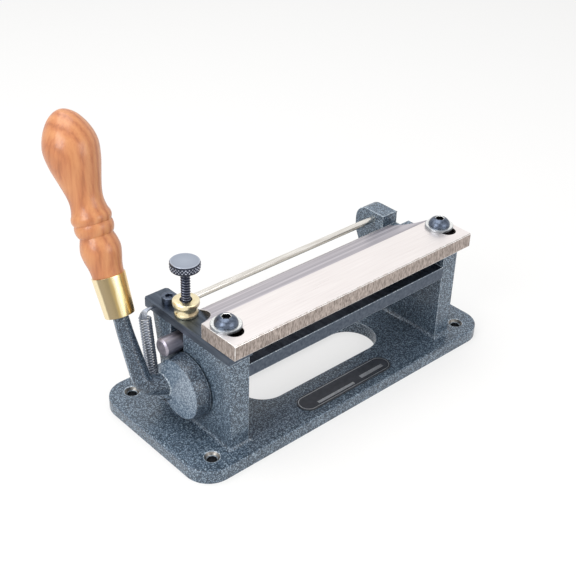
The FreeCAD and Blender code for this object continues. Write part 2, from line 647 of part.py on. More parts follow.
def lever_shaft():
    """Shaft that carries both cam discs; the left end sits in a blind bore."""
    start = f"({CAM_FACE} - lever_skin)"
    length = f"({start} + {CAM_FACE} + shaft_stub)"
    body = turned("lever_shaft", shaft_profile(length))
    lay_along_x(body)
    place(body, f"-{start}", "pivot_y", "pivot_z")
    for word, middle in (("left", f"{start} - {CAM_MIDDLE}"), ("right", f"{start} + {CAM_MIDDLE}")):
        dimple = new_sketch(body, f"{word}_dimple", "YZ_Plane", "shaft_radius")
        circle(dimple, "0", middle, "cam_screw_radius")
        extrude(body, "Pocket", dimple, "cam_screw_bite")
    return body


def cam_screw_length():
    """From the rim of a cam disc, straight below the lever shaft, to the shaft's dimple."""
    rise = f"sqrt({CAM_MIDDLE_RADIUS}^2 - (pivot_y - cam_y)^2)"
    return f"(pivot_z - shaft_radius + cam_screw_bite - cam_z + {rise} - cam_screw_inset)"


def cam_set_screws():
    """Set screws that lock the cam discs to the lever shaft, from below."""
    pair = []
    for word, sign in (("left", "-"), ("right", "")):
        screw = document.addObject("Part::Cylinder", f"{word}_cam_screw")
        bind(screw, "Radius", "cam_screw_radius")
        bind(screw, "Height", cam_screw_length())
        place(screw, f"{sign}{CAM_MIDDLE}", "pivot_y",
              f"pivot_z - shaft_radius + cam_screw_bite - {cam_screw_length()}")
        pair.append(screw)
    return group("cam_set_screws", pair)


def cam_disc(body, sign, bore_depth):
    """Cast disc with draft, set off centre from the lever shaft, that lifts the roller shaft."""
    disc = new_sketch(body, f"{body.Name}_disc", "YZ_Plane", f"{sign}{CAM_BACK}")
    circle(disc, "cam_y", "cam_z", "cam_back_radius")
    pad = extrude(body, "Pad", disc, "cam_thick", reverse=sign == "-")
    bind(pad, "TaperAngle", "-atan((cam_back_radius - cam_face_radius) / cam_thick)")
    dress(body, "Fillet", f"{body.Name}_rim", "cam_edge",
          lambda edge: near(abs(edge.CenterOfMass.x), CAM_FACE) and len(edge.Vertexes) == 1)
    bore = new_sketch(body, f"{body.Name}_bore", "YZ_Plane", f"{sign}{CAM_BACK}")
    circle(bore, "pivot_y", "pivot_z", "shaft_radius")
    extrude(body, "Pocket", bore, bore_depth, reverse=sign != "-")
    hole = new_sketch(body, f"{body.Name}_screw_hole", "XY_Plane", "pivot_z")
    circle(hole, f"{sign}{CAM_MIDDLE}", "pivot_y", "cam_screw_radius")
    extrude(body, "Pocket", hole, "pivot_z")
    return body


def right_cam():
    return cam_disc(new_body("right_cam"), "", "cam_thick")


def lever():
    """Left cam disc with the spring lug, the round arm and the handle's tang, one casting."""
    casting = cam_disc(new_body("lever_casting"), "-", "cam_thick - lever_skin")
    lug_face = f"({CAM_FACE} - lug_inset)"
    lug = new_sketch(casting, "lug_outline", "YZ_Plane", f"-{lug_face} + lug_thick")
    obround(lug, ("arm_root_y", "arm_root_z"), ("lug_y", "lug_z"), "lug_radius")
    extrude(casting, "Pad", lug, "lug_thick", reverse=True)
    hole = new_sketch(casting, "lug_hole", "YZ_Plane", f"-{lug_face}")
    circle(hole, "lug_y", "lug_z", "spring_wire / 2 + fit")
    extrude(casting, "Pocket", hole, "hook_bite", reverse=True)
    document.recompute()
    piece = document.addObject("Part::Feature", "lever")
    piece.Shape = casting.Shape.fuse(arm_shape()).removeSplitter()
    return piece


def spot(x, y, z):
    return FreeCAD.Vector(size(x), size(y), size(z))


def handle_axis():
    lean = math.radians(size("handle_lean"))
    return FreeCAD.Vector(0, math.sin(lean), math.cos(lean))


def bent_path(corners, radii):
    """A wire of straights joined by tangent arcs."""
    edges = []
    last = corners[0]
    for before, corner, after, radius in zip(corners, corners[1:], corners[2:], radii):
        back = (before - corner).normalize()
        ahead = (after - corner).normalize()
        half = back.getAngle(ahead) / 2
        reach = radius / math.tan(half)
        start = corner + back * reach
        end = corner + ahead * reach
        inward = (back + ahead).normalize()
        middle = corner + inward * (radius / math.sin(half) - radius)
        edges.append(Part.LineSegment(last, start).toShape())
        edges.append(Part.Arc(start, middle, end).toShape())
        last = end
    edges.append(Part.LineSegment(last, corners[-1]).toShape())
    return Part.Wire(edges)


def disc_at(centre, axis, radius):
    return Part.Wire(Part.makeCircle(radius, centre, axis))


def arm_shape():
    """Round tapered arm from the disc to the ferrule, with the tang that holds the wood."""
    root = spot(f"-({CAM_FACE} - lug_inset)", "arm_root_y", "arm_root_z")
    elbow = spot(f"-{ARM_PLANE}", "elbow_y", "elbow_z")
    top = spot(f"-{ARM_PLANE}", "handle_y", "handle_z")
    knee = top - handle_axis() * size("knee_below")
    path = bent_path([root, elbow, knee, top], [size("elbow_radius"), size("knee_radius")])
    sweep = Part.BRepOffsetAPI.MakePipeShell(path)
    sweep.add(disc_at(root, elbow - root, size("arm_root_radius")))
    sweep.add(disc_at(top, handle_axis(), size("arm_tip_radius")))
    sweep.build()
    sweep.makeSolid()
    tang = Part.makeCylinder(size("tang_radius"), size("tang_length"), top, handle_axis())
    return sweep.shape().fuse(tang)


def on_handle(piece):
    """Stand a piece that was made about its own Z on the handle's axis."""
    piece.Placement.Rotation = FreeCAD.Rotation(FreeCAD.Vector(1, 0, 0), -size("handle_lean"))
    place(piece, f"-{ARM_PLANE}", "handle_y", "handle_z")
    return piece


def ferrule():
    """Brass ferrule, a tapered cup with a rolled rim; the arm closes its lower end."""
    wall = "ferrule_wall"
    return on_handle(turned("ferrule", [
        ("arm_tip_radius + fit", "-ferrule_lip"), ("ferrule_low_radius", "-ferrule_lip"),
        ("ferrule_high_radius", "ferrule_length"),
        (f"ferrule_high_radius - {wall}", "ferrule_length"),
        (f"ferrule_low_radius - {wall}", f"{wall} - ferrule_lip"),
        ("arm_tip_radius + fit", f"{wall} - ferrule_lip")]))


def wood_handle():
    """Turned handle: tenon in the ferrule, swelling, two beads, neck and a round belly."""
    end = size("ferrule_length")
    seat = size("ferrule_high_radius - ferrule_wall")
    foot = size("ferrule_low_radius - ferrule_wall")
    run = (size("tenon_start") - size("ferrule_wall - ferrule_lip"))
    whole = end - size("ferrule_wall - ferrule_lip")
    tenon = foot + (seat - foot) * run / whole
    bore = size("tang_radius")
    tip = size("tang_length")

    def at(name):
        return FreeCAD.Vector(size(f"wood_{name}_radius"), 0, end + size(f"wood_{name}_at"))
    start = FreeCAD.Vector(size("wood_start_radius"), 0, end)
    crown = FreeCAD.Vector(0, 0, end + size("wood_length"))
    corners = [start, FreeCAD.Vector(seat, 0, end), FreeCAD.Vector(tenon, 0, size("tenon_start")),
               FreeCAD.Vector(bore, 0, size("tenon_start")), FreeCAD.Vector(bore, 0, tip),
               FreeCAD.Vector(0, 0, tip), crown]
    edges = [Part.LineSegment(one, two).toShape() for one, two in zip(corners, corners[1:])]
    swelling = Part.BSplineCurve()
    swelling.interpolate([start, at("bulb"), at("groove")])
    grip = Part.BSplineCurve()
    stations = [at("throat"), at("neck"), at("rise"), at("belly"), at("dome"), crown]
    flat = FreeCAD.Vector(-1, 0, 0)
    grip.interpolate(stations, InitialTangent=FreeCAD.Vector(-1, 0, 1), FinalTangent=flat)
    edges.append(swelling.toShape())
    edges.append(Part.Arc(at("groove"), at("bead"), at("valley")).toShape())
    edges.append(Part.Arc(at("valley"), at("ring"), at("throat")).toShape())
    edges.append(grip.toShape())
    outline = Part.Wire(Part.__sortEdges__(edges))
    piece = document.addObject("Part::Feature", "wood_handle")
    solid = Part.Face(outline).revolve(FreeCAD.Vector(), FreeCAD.Vector(0, 0, 1), 360)
    piece.Shape = solid
    return on_handle(piece)


def return_spring():
    """Extension spring from the stop bar's side to the lever's lug: one unbroken wire."""
    face = f"-{BAR_LEFT}"
    top = spot(f"{face} - spring_top_out", "spring_top_y", "spring_top_z")
    lug_face = f"-({CAM_FACE} - lug_inset)"
    low = spot(f"{lug_face} - spring_hook - spring_wire", "lug_y", "lug_z + hook_rise")
    axis = (top - low).normalize()
    side = (FreeCAD.Vector(1, 0, 0) - axis * axis.x).normalize()
    other = axis.cross(side)
    radius = size("spring_radius")
    turns = round(size("spring_turns"))
    rise = (top - low).Length

    def on_coil(angle):
        """Point and direction of the wire at an angle from the lower end."""
        out = side * math.cos(angle) + other * math.sin(angle)
        along = other * math.cos(angle) - side * math.sin(angle)
        climb = rise / turns / (2 * math.pi)
        point = low + out * radius + axis * (climb * angle)
        return point, (along * radius + axis * climb).normalize()
    quarter = math.pi / 2
    last = 2 * math.pi * turns
    angles = [quarter * step for step in range(4 * turns + 2)]
    angles.append(last + math.radians(size("spring_turn_on")))
    up = FreeCAD.Vector(0, 0, 1)
    right = FreeCAD.Vector(1, 0, 0)
    bend = size("spring_hook")
    loop = size("spring_loop")
    into_lug = spot(lug_face, "lug_y", "lug_z")
    hook_low = FreeCAD.Vector(low.x, into_lug.y, into_lug.z + bend)
    lug_end = into_lug - right * (into_lug.x - low.x - bend)
    into_bar = spot(face, "spring_top_y", ROD_Z)
    loop_start = FreeCAD.Vector(top.x - radius, into_bar.y, into_bar.z - loop)
    loop_end = FreeCAD.Vector(loop_start.x + loop, into_bar.y, into_bar.z)
    stations = [(hook_low, up)] + [on_coil(angle) for angle in angles] + [(loop_start, up)]
    edges = [Part.LineSegment(into_lug, lug_end).toShape()]
    edges += biarc(lug_end, right * -1, hook_low, up)
    for (one, lead), (two, follow) in zip(stations, stations[1:]):
        edges += biarc(one, lead, two, follow)
    edges += biarc(loop_start, up, loop_end, right)
    edges.append(Part.LineSegment(loop_end, into_bar).toShape())
    path = Part.Wire(edges)
    sweep = Part.BRepOffsetAPI.MakePipeShell(path)
    sweep.add(disc_at(into_lug, right * -1, size("spring_wire") / 2))
    sweep.build()
    sweep.makeSolid()
    piece = document.addObject("Part::Feature", "return_spring")
    piece.Shape = sweep.shape()
    report_gap(path, size("spring_wire"), piece.Shape.Volume)
    return piece


def biarc(start, lead, end, follow):
    """Two tangent arcs from one point and direction to another."""
    chord = end - start
    both = lead + follow
    turn = 2 * (1 - lead.dot(follow))
    if turn < TINY:
        reach = chord.dot(chord) / (2 * chord.dot(both))
    else:
        lean = chord.dot(both)
        reach = (math.sqrt(lean * lean + turn * chord.dot(chord)) - lean) / turn
    near_corner = start + lead * reach
    far_corner = end - follow * reach
    middle = (near_corner + far_corner) / 2
    return [bend_arc(start, near_corner, middle), bend_arc(middle, far_corner, end)]


def bend_arc(start, corner, end):
    """The arc that touches both legs of a corner."""
    base = (start + end) / 2
    height = corner - base
    if height.Length < TINY:
        return Part.LineSegment(start, end).toShape()
    half_chord = (end - start).Length / 2
    angle = math.atan2(height.Length, half_chord)
    crown = base + height.normalize() * (half_chord * math.tan(angle / 2))
    return Part.Arc(start, crown, end).toShape()


def report_gap(path, wire, volume):
    """Print the wire's least gap to itself, its tightest bend and its volume check."""
    step = wire / 3
    points = path.discretize(Distance=step)
    apart = round(3 * wire / step)
    window = round(size("3 * pi * spring_radius") / step)
    least = min((one - two).Length for index, one in enumerate(points)
                for two in points[index + apart:index + window])
    tight = min(edge.Curve.Radius for edge in path.Edges if hasattr(edge.Curve, "Radius"))
    share = volume / (math.pi * wire ** 2 / 4 * path.Length)
    print(f"spring wire {path.Length:.1f} mm, least gap {least - wire:.2f} mm, "
          f"tightest bend {tight:.2f} mm, volume ratio {share:.4f}")


def name_plate():
    """Thin bare plate with round ends on the front of the base."""
    body = new_body("name_plate")
    outline = new_sketch(body, "plate_outline", "XY_Plane", "base_thick")
    reach = "(plate_length - plate_width) / 2"
    obround(outline, (f"-{reach}", "plate_y"), (reach, "plate_y"), "plate_width / 2")
    extrude(body, "Pad", outline, "plate_thick")
    return body


def roller_shaft():
    """Shaft that the cams lift, with a groove for each retaining ring."""
    half = "(upright_outer + shaft_overhang)"
    body = turned("roller_shaft", shaft_profile(f"2 * {half}"))
    sketch = new_sketch(body, "ring_grooves", "XZ_Plane")
    for near_side in (f"{half} - {RING_OUTER}", f"{half} + {RING_OUTER} - ring_thick"):
        rectangle(sketch, "shaft_radius - ring_groove", "shaft_radius + ring_groove",
                  near_side, f"{near_side} + ring_thick")
    groove = body.newObject("PartDesign::Groove", "ring_grooves_cut")
    groove.Profile = sketch
    groove.ReferenceAxis = (sketch, ["V_Axis"])
    groove.Angle = 360
    sketch.Visibility = False
    lay_along_x(body)
    place(body, f"-{half}", "roller_y", ROLLER_Z)
    return body


def retaining_rings():
    """Rings on the roller shaft that keep the roller between the uprights."""
    return both_ends("retaining_rings",
                     tube("shaft_radius - ring_groove", "ring_radius", "0", "ring_thick"),
                     f"{RING_OUTER} - ring_thick", "roller_y", ROLLER_Z)


def roller():
    """Smooth feed roller, bored through and counterbored for its bushes."""
    whole = f"(2 * {ROLLER_END})"
    body = turned("roller", [
        ("bush_radius", "0"), ("roller_radius - roller_chamfer", "0"),
        ("roller_radius", "roller_chamfer"), ("roller_radius", f"{whole} - roller_chamfer"),
        ("roller_radius - roller_chamfer", whole), ("bush_radius", whole),
        ("bush_radius", f"{whole} - roller_bush_length"),
        ("roller_bore_radius", f"{whole} - roller_bush_length"),
        ("roller_bore_radius", "roller_bush_length"), ("bush_radius", "roller_bush_length")])
    lay_along_x(body)
    place(body, f"-{ROLLER_END}", "roller_y", ROLLER_Z)
    return body


def roller_bushes():
    """Flanged bronze bushes pressed into the roller's ends."""
    profile = [(RUNNING_RADIUS, "0"), ("bush_radius", "0"), ("bush_radius", "roller_bush_length"),
               ("bush_flange_radius", "roller_bush_length"),
               ("bush_flange_radius", "roller_bush_length + bush_flange_thick"),
               (RUNNING_RADIUS, "roller_bush_length + bush_flange_thick")]
    return both_ends("roller_bushes", profile, f"{ROLLER_END} - roller_bush_length",
                     "roller_y", ROLLER_Z)


def stop_screw():
    """Threaded stud that stops the roller shaft from above."""
    top = "stud_length + knob_height - knob_skin"
    body = turned("stop_screw", [
        ("0", "0"), ("stud_radius - stud_chamfer", "0"), ("stud_radius", "stud_chamfer"),
        ("stud_radius", top), ("0", top)])
    place(body, f"-{STUD_X}", "roller_y", STUD_TIP)
    return body


def stop_screw_head():
    """Round thumb head with a flat closed top."""
    inside = "knob_height - knob_skin"
    body = turned("stop_screw_head", [
        ("stud_radius + fit", "0"), ("knob_radius - knob_chamfer", "0"),
        ("knob_radius", "knob_chamfer"), ("knob_radius", "knob_height - knob_chamfer"),
        ("knob_radius - knob_chamfer", "knob_height"), ("0", "knob_height"), ("0", inside),
        ("stud_radius + fit", inside)])
    place(body, f"-{STUD_X}", "roller_y", f"{STUD_TIP} + stud_length")
    return body


def lock_nut():
    """Round brass nut, flanged at the top and necked above its foot."""
    bore = "stud_radius + fit"
    body = turned("lock_nut", [
        (bore, "0"), ("nut_foot_radius", "0"), ("nut_foot_radius", "nut_foot"),
        ("nut_waist_radius", "nut_foot + nut_blend"),
        ("nut_waist_radius", "nut_height - nut_flange - nut_blend"),
        ("nut_radius", "nut_height - nut_flange"), ("nut_radius", "nut_height - knob_chamfer"),
        ("nut_radius - knob_chamfer", "nut_height"), (bore, "nut_height")])
    place(body, f"-{STUD_X}", "roller_y", f"{BLADE_UNDER} + seat_gap")
    return body


PIECES = [frame_casting, stop_bar, stop_bar_screw, splitting_blade, blade_screws, blade_washers,
          guide_rod, name_plate, lever_shaft_bushes, lever, lever_shaft, right_cam,
          cam_set_screws, cam_washers, ferrule, wood_handle, return_spring, roller_shaft,
          retaining_rings, roller, roller_bushes, stop_screw, stop_screw_head, lock_nut]

pieces = []
for make in PIECES:
    piece = make()
    piece.Label = make.__name__
    pieces.append(piece)
document.recompute()

for item in document.Objects:
    if "Invalid" in item.State or "Error" in item.State:
        raise RuntimeError(f"{item.Name} did not build: {item.State}")
for piece in pieces:
    if piece.Shape.isNull() or not piece.Shape.isValid() or not piece.Shape.Solids:
        raise RuntimeError(f"{piece.Label} has no valid solid")

os.makedirs("parts", exist_ok=True)
for piece in pieces:
    piece.Shape.exportStep(f"parts/{piece.Label}.step")
    box = piece.Shape.BoundBox
    print(f"{piece.Label}: {len(piece.Shape.Solids)} solid, {piece.Shape.Volume / 1000:.2f} cm3, "
          f"x {box.XMin:.1f} {box.XMax:.1f}, y {box.YMin:.1f} {box.YMax:.1f}, "
          f"z {box.ZMin:.1f} {box.ZMax:.1f}")
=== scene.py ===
# %% [markdown]
# # A leather skiving machine, dressed for its picture
#
# The imported model holds every piece at its real size, in metres, with the bench under it at z = 0. This
# notebook gives each piece its finish and its small detail, and stays inside the imported model's box. A
# piece is moved by its body, so each one made here, apart from the spring, rides on the body that carries
# the real one.

# %% Load the model as a fixed frame
import json
import math

import bmesh
import bpy
from mathutils import Matrix, Quaternion, Vector

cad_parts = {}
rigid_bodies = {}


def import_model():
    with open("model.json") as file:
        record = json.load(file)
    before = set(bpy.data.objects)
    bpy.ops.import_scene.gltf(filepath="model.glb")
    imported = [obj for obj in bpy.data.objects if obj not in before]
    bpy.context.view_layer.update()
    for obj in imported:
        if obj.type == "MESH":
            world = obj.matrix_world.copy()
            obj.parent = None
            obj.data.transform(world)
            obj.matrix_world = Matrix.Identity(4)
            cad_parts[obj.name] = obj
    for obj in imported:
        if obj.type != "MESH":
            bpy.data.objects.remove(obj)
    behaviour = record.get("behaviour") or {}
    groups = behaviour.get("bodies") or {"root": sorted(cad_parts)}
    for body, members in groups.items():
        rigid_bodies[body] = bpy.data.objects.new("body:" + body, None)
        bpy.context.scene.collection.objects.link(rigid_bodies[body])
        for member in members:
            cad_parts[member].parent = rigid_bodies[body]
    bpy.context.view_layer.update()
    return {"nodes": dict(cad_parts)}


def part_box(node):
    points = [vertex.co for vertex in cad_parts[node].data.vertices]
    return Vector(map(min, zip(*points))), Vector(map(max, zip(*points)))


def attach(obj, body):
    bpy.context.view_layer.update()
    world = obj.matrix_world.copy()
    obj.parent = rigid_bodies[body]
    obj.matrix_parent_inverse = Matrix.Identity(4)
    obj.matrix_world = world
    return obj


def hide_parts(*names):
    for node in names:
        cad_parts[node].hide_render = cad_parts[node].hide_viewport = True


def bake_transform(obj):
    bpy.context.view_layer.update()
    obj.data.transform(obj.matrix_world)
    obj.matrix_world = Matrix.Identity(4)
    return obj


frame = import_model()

MM = 0.001

# %% [markdown]
# ## Camera
#
# The photograph was taken from the front left, a little above the machine, and slightly turned about the
# view axis. The place and lens were worked out from points whose real place is known, such as the corners
# of the base and blade. A short telephoto keeps the far end of the blade nearly as large as the near end.

# %% Camera
CAMERA_AT = Vector((-0.43651, -0.44948, 0.46491))
CAMERA_AIM = Vector((0.01182, 0.03000, 0.04711))
CAMERA_ROLL = math.radians(1.986)
LENS = 67.21

lens = bpy.data.cameras.new("bench_camera")
lens.lens = LENS
lens.sensor_width = 36.0
camera = bpy.data.objects.new("bench_camera", lens)
bpy.context.scene.collection.objects.link(camera)
turn = (CAMERA_AIM - CAMERA_AT).to_track_quat("-Z", "Y") @ Quaternion((0, 0, 1), CAMERA_ROLL)
camera.rotation_mode = "QUATERNION"
camera.rotation_quaternion = turn
camera.location = CAMERA_AT
bpy.context.scene.camera = camera
print("camera right vector", [round(v, 4) for v in turn @ Vector((1, 0, 0))])

# %% [markdown]
# ## Nodes by one function
#
# Every finish below is a small tree of shader nodes, and so are the repeating pieces. One function adds a
# node, sets its properties, and sets or links its inputs, so that a tree reads as a list. Colours are
# written as sRGB hex, as a paint chart gives them, and turned to the linear values that Blender wants.


# %% Helpers for node trees
def add(tree, kind, inputs=None, **properties):
    """One node, with its properties set and each input linked to a socket or given a value."""
    node = tree.nodes.new(kind)
    for name, value in properties.items():
        setattr(node, name, value)
    for key, value in (inputs or {}).items():
        if isinstance(value, bpy.types.NodeSocket):
            tree.links.new(value, node.inputs[key])
        else:
            node.inputs[key].default_value = value
    return node


def paint(code):
    """The linear colour of an sRGB hex value."""
    channels = [int(code[place:place + 2], 16) / 255 for place in (1, 3, 5)]
    linear = [c / 12.92 if c <= 0.04045 else ((c + 0.055) / 1.055) ** 2.4 for c in channels]
    return (*linear, 1.0)


def ramp(tree, factor, stops):
    """A colour ramp with its stops given as (place, hex colour)."""
    node = add(tree, "ShaderNodeValToRGB", {"Fac": factor})
    while len(node.color_ramp.elements) < len(stops):
        node.color_ramp.elements.new(0.5)
    for element, (place, code) in zip(node.color_ramp.elements, stops):
        element.position = place
        element.color = paint(code)
    return node.outputs["Color"]


def finish(name, settings):
    """A material with one shader, whose plain settings are given by socket name."""
    material = bpy.data.materials.new(name)
    material.use_nodes = True
    tree = material.node_tree
    tree.nodes.clear()
    shader = add(tree, "ShaderNodeBsdfPrincipled", settings)
    add(tree, "ShaderNodeOutputMaterial", {"Surface": shader.outputs[0]})
    return material, tree, shader


print("helpers ready")

# %% [markdown]
# ## Floor, world and lamps
#
# A catalogue picture is lit by large soft lamps over a white sweep. The floor stays pale and keeps a soft
# shadow. What the camera and the polished metal see behind it is plain white. Three area lamps stand in for
# soft boxes: one over the machine, one at the left, and a weaker one in front.

# %% Floor and world
FLOOR_SIZE = 6.0
FLOOR_GLOW = 0.64
WORLD_LIGHT = 0.55

floor_mesh = bpy.data.meshes.new("floor")
half = FLOOR_SIZE / 2
floor_mesh.from_pydata([(-half, -half, 0), (half, -half, 0), (half, half, 0), (-half, half, 0)], [],
                       [(0, 1, 2, 3)])
floor = bpy.data.objects.new("floor", floor_mesh)
bpy.context.scene.collection.objects.link(floor)


def seen_white(tree):
    """1 for rays from the camera, from gloss and through glass, and 0 for the rest."""
    path = add(tree, "ShaderNodeLightPath")
    first = add(tree, "ShaderNodeMath",
                {0: path.outputs["Is Camera Ray"], 1: path.outputs["Is Glossy Ray"]},
                operation="MAXIMUM")
    return add(tree, "ShaderNodeMath", {0: first.outputs[0], 1: path.outputs["Is Transmission Ray"]},
               operation="MAXIMUM").outputs[0]


floor_material = bpy.data.materials.new("pale_sweep_paper")
floor_material.use_nodes = True
tree = floor_material.node_tree
tree.nodes.clear()
paper = add(tree, "ShaderNodeBsdfDiffuse", {"Color": paint("#F4F3F1")})
glow = add(tree, "ShaderNodeEmission", {"Color": paint("#FFFFFF"), "Strength": 1.0})
half_glow = add(tree, "ShaderNodeMixShader", {0: FLOOR_GLOW, 1: paper.outputs[0], 2: glow.outputs[0]})
seen = add(tree, "ShaderNodeMixShader", {0: seen_white(tree), 1: paper.outputs[0], 2: half_glow.outputs[0]})
add(tree, "ShaderNodeOutputMaterial", {"Surface": seen.outputs[0]})
floor_mesh.materials.append(floor_material)

world = bpy.data.worlds.new("white_studio")
bpy.context.scene.world = world
world.use_nodes = True
tree = world.node_tree
tree.nodes.clear()
dim = add(tree, "ShaderNodeBackground", {"Color": paint("#FFFFFF"), "Strength": WORLD_LIGHT})
white = add(tree, "ShaderNodeBackground", {"Color": paint("#FFFFFF"), "Strength": 1.0})
both = add(tree, "ShaderNodeMixShader", {0: seen_white(tree), 1: dim.outputs[0], 2: white.outputs[0]})
add(tree, "ShaderNodeOutputWorld", {"Surface": both.outputs[0]})
bpy.context.scene.view_settings.view_transform = "Standard"
print("floor", FLOOR_SIZE, "m wide")

# %% Lamps
# place in metres, width in metres, power in watts
LAMPS = {
    "overhead_box": ((-0.1, 0.25, 1.1), 0.9, 7.0),
    "left_box": ((-1.0, -0.1, 0.7), 0.6, 6.0),
    "front_box": ((0.25, -1.1, 0.55), 0.7, 4.0),
}

for name, (place, width, power) in LAMPS.items():
    light = bpy.data.lights.new(name, "AREA")
    light.size = width
    light.energy = power
    lamp = bpy.data.objects.new(name, light)
    lamp.location = place
    lamp.rotation_mode = "QUATERNION"
    lamp.rotation_quaternion = (CAMERA_AIM - Vector(place)).to_track_quat("-Z", "Y")
    bpy.context.scene.collection.objects.link(lamp)
print(len(LAMPS), "lamps")

# %% [markdown]
# ## Hammered enamel
#
# The casting and the lever wear hammer-finish enamel, a stoving paint whose silicone additive draws it into
# small cells. It hides a rough casting. The eye sees blue-grey dimples about a millimetre across, with
# light middles and dark rims. Voronoi cells give the dimples for colour and bump alike, and a slow noise
# keeps two cells from matching. The broken edges get a lighter version of it, as a painted highlight.


# %% Hammered enamel
def hammered_enamel(name, cell, gloss, light, middle, dark):
    """Blue-grey hammer paint with cells of that size in metres."""
    material, tree, shader = finish(name, {"Metallic": 0.1, "Roughness": gloss, "Coat Weight": 0.3,
                                            "Coat Roughness": 0.15})
    where = add(tree, "ShaderNodeTexCoord").outputs["Object"]
    stir = add(tree, "ShaderNodeTexNoise", {"Vector": where, "Scale": 0.8 / cell, "Detail": 3.0})
    push = add(tree, "ShaderNodeVectorMath", {0: stir.outputs["Color"], 1: (0.5, 0.5, 0.5)},
               operation="SUBTRACT")
    pushed = add(tree, "ShaderNodeVectorMath", {0: push.outputs[0], 1: (cell * 0.9,) * 3, 2: where},
                 operation="MULTIPLY_ADD")
    cells = add(tree, "ShaderNodeTexVoronoi",
                {"Vector": pushed.outputs[0], "Scale": 1 / cell, "Smoothness": 0.4},
                feature="SMOOTH_F1")
    patches = add(tree, "ShaderNodeTexNoise", {"Vector": where, "Scale": 0.5 / cell, "Detail": 2.0})
    mixed = add(tree, "ShaderNodeMath", {0: patches.outputs["Fac"], 1: 0.6, 2: cells.outputs["Distance"]},
                operation="MULTIPLY_ADD")
    shade = ramp(tree, mixed.outputs[0], [(0.42, light), (0.66, middle), (0.95, dark)])
    tree.links.new(shade, shader.inputs["Base Color"])
    bump = add(tree, "ShaderNodeBump",
               {"Height": cells.outputs["Distance"], "Strength": 0.3, "Distance": 0.25 * MM},
               invert=True)
    tree.links.new(bump.outputs[0], shader.inputs["Normal"])
    return material


casting_enamel = hammered_enamel("hammered_enamel_stoved", 0.95 * MM, 0.36, "#A3B3BE", "#5E7083", "#303D4A")
# the lever's paint is darker than the casting's as painted shade, and the disc face lighter as painted light
shaded_lever_enamel = hammered_enamel("hammered_enamel_lever", 0.9 * MM, 0.36, "#8897A3", "#495869", "#222C38")
lit_disc_face_enamel = hammered_enamel("hammered_enamel_flowed", 1.0 * MM, 0.24, "#A9B7C2", "#8090A1", "#57687A")
# a lighter enamel for the broken edges, as a painted highlight
highlight_enamel = hammered_enamel("hammered_enamel_thin", 1.0 * MM, 0.3, "#DDE5EA", "#A9B6C2", "#6D7C8A")
print(casting_enamel.name, shaded_lever_enamel.name, lit_disc_face_enamel.name, highlight_enamel.name)

# %% [markdown]
# ## Steel, brass and bronze
#
# Each metal part was finished in its own way, and that is what tells them apart: the blade was surface
# ground, the rod drawn, the screws blackened, the washers zinc plated, and the brass turned and polished.
# All of them are plain metals, so the colour is the reflection. A fine noise, drawn out along the tool's
# path, varies the roughness and tilts the surface a little. Real tool marks lie a few hundredths of a
# millimetre apart, too fine for this picture, so they are drawn many times coarser. What a finish gives the
# eye stands above its line.


# %% Metals
def metal(name, colour, shade, roughness, grain, stretch, depth):
    """A metal with tool marks: grain is their spacing in metres, and stretch draws them out on each axis."""
    material, tree, shader = finish(name, {"Metallic": 1.0})
    where = add(tree, "ShaderNodeTexCoord").outputs["Object"]
    drawn = add(tree, "ShaderNodeMapping", {"Vector": where, "Scale": stretch})
    marks = add(tree, "ShaderNodeTexNoise",
                {"Vector": drawn.outputs[0], "Scale": 0.5 / grain, "Detail": 4.0})
    tone = ramp(tree, marks.outputs["Fac"], [(0.3, shade), (0.7, colour)])
    tree.links.new(tone, shader.inputs["Base Color"])
    rough = add(tree, "ShaderNodeMapRange", {"Value": marks.outputs["Fac"], "To Min": roughness * 0.75,
                                             "To Max": roughness * 1.3})
    tree.links.new(rough.outputs[0], shader.inputs["Roughness"])
    bump = add(tree, "ShaderNodeBump",
               {"Height": marks.outputs["Fac"], "Strength": depth, "Distance": 0.1 * MM})
    tree.links.new(bump.outputs[0], shader.inputs["Normal"])
    return material


EVEN = (1, 1, 1)
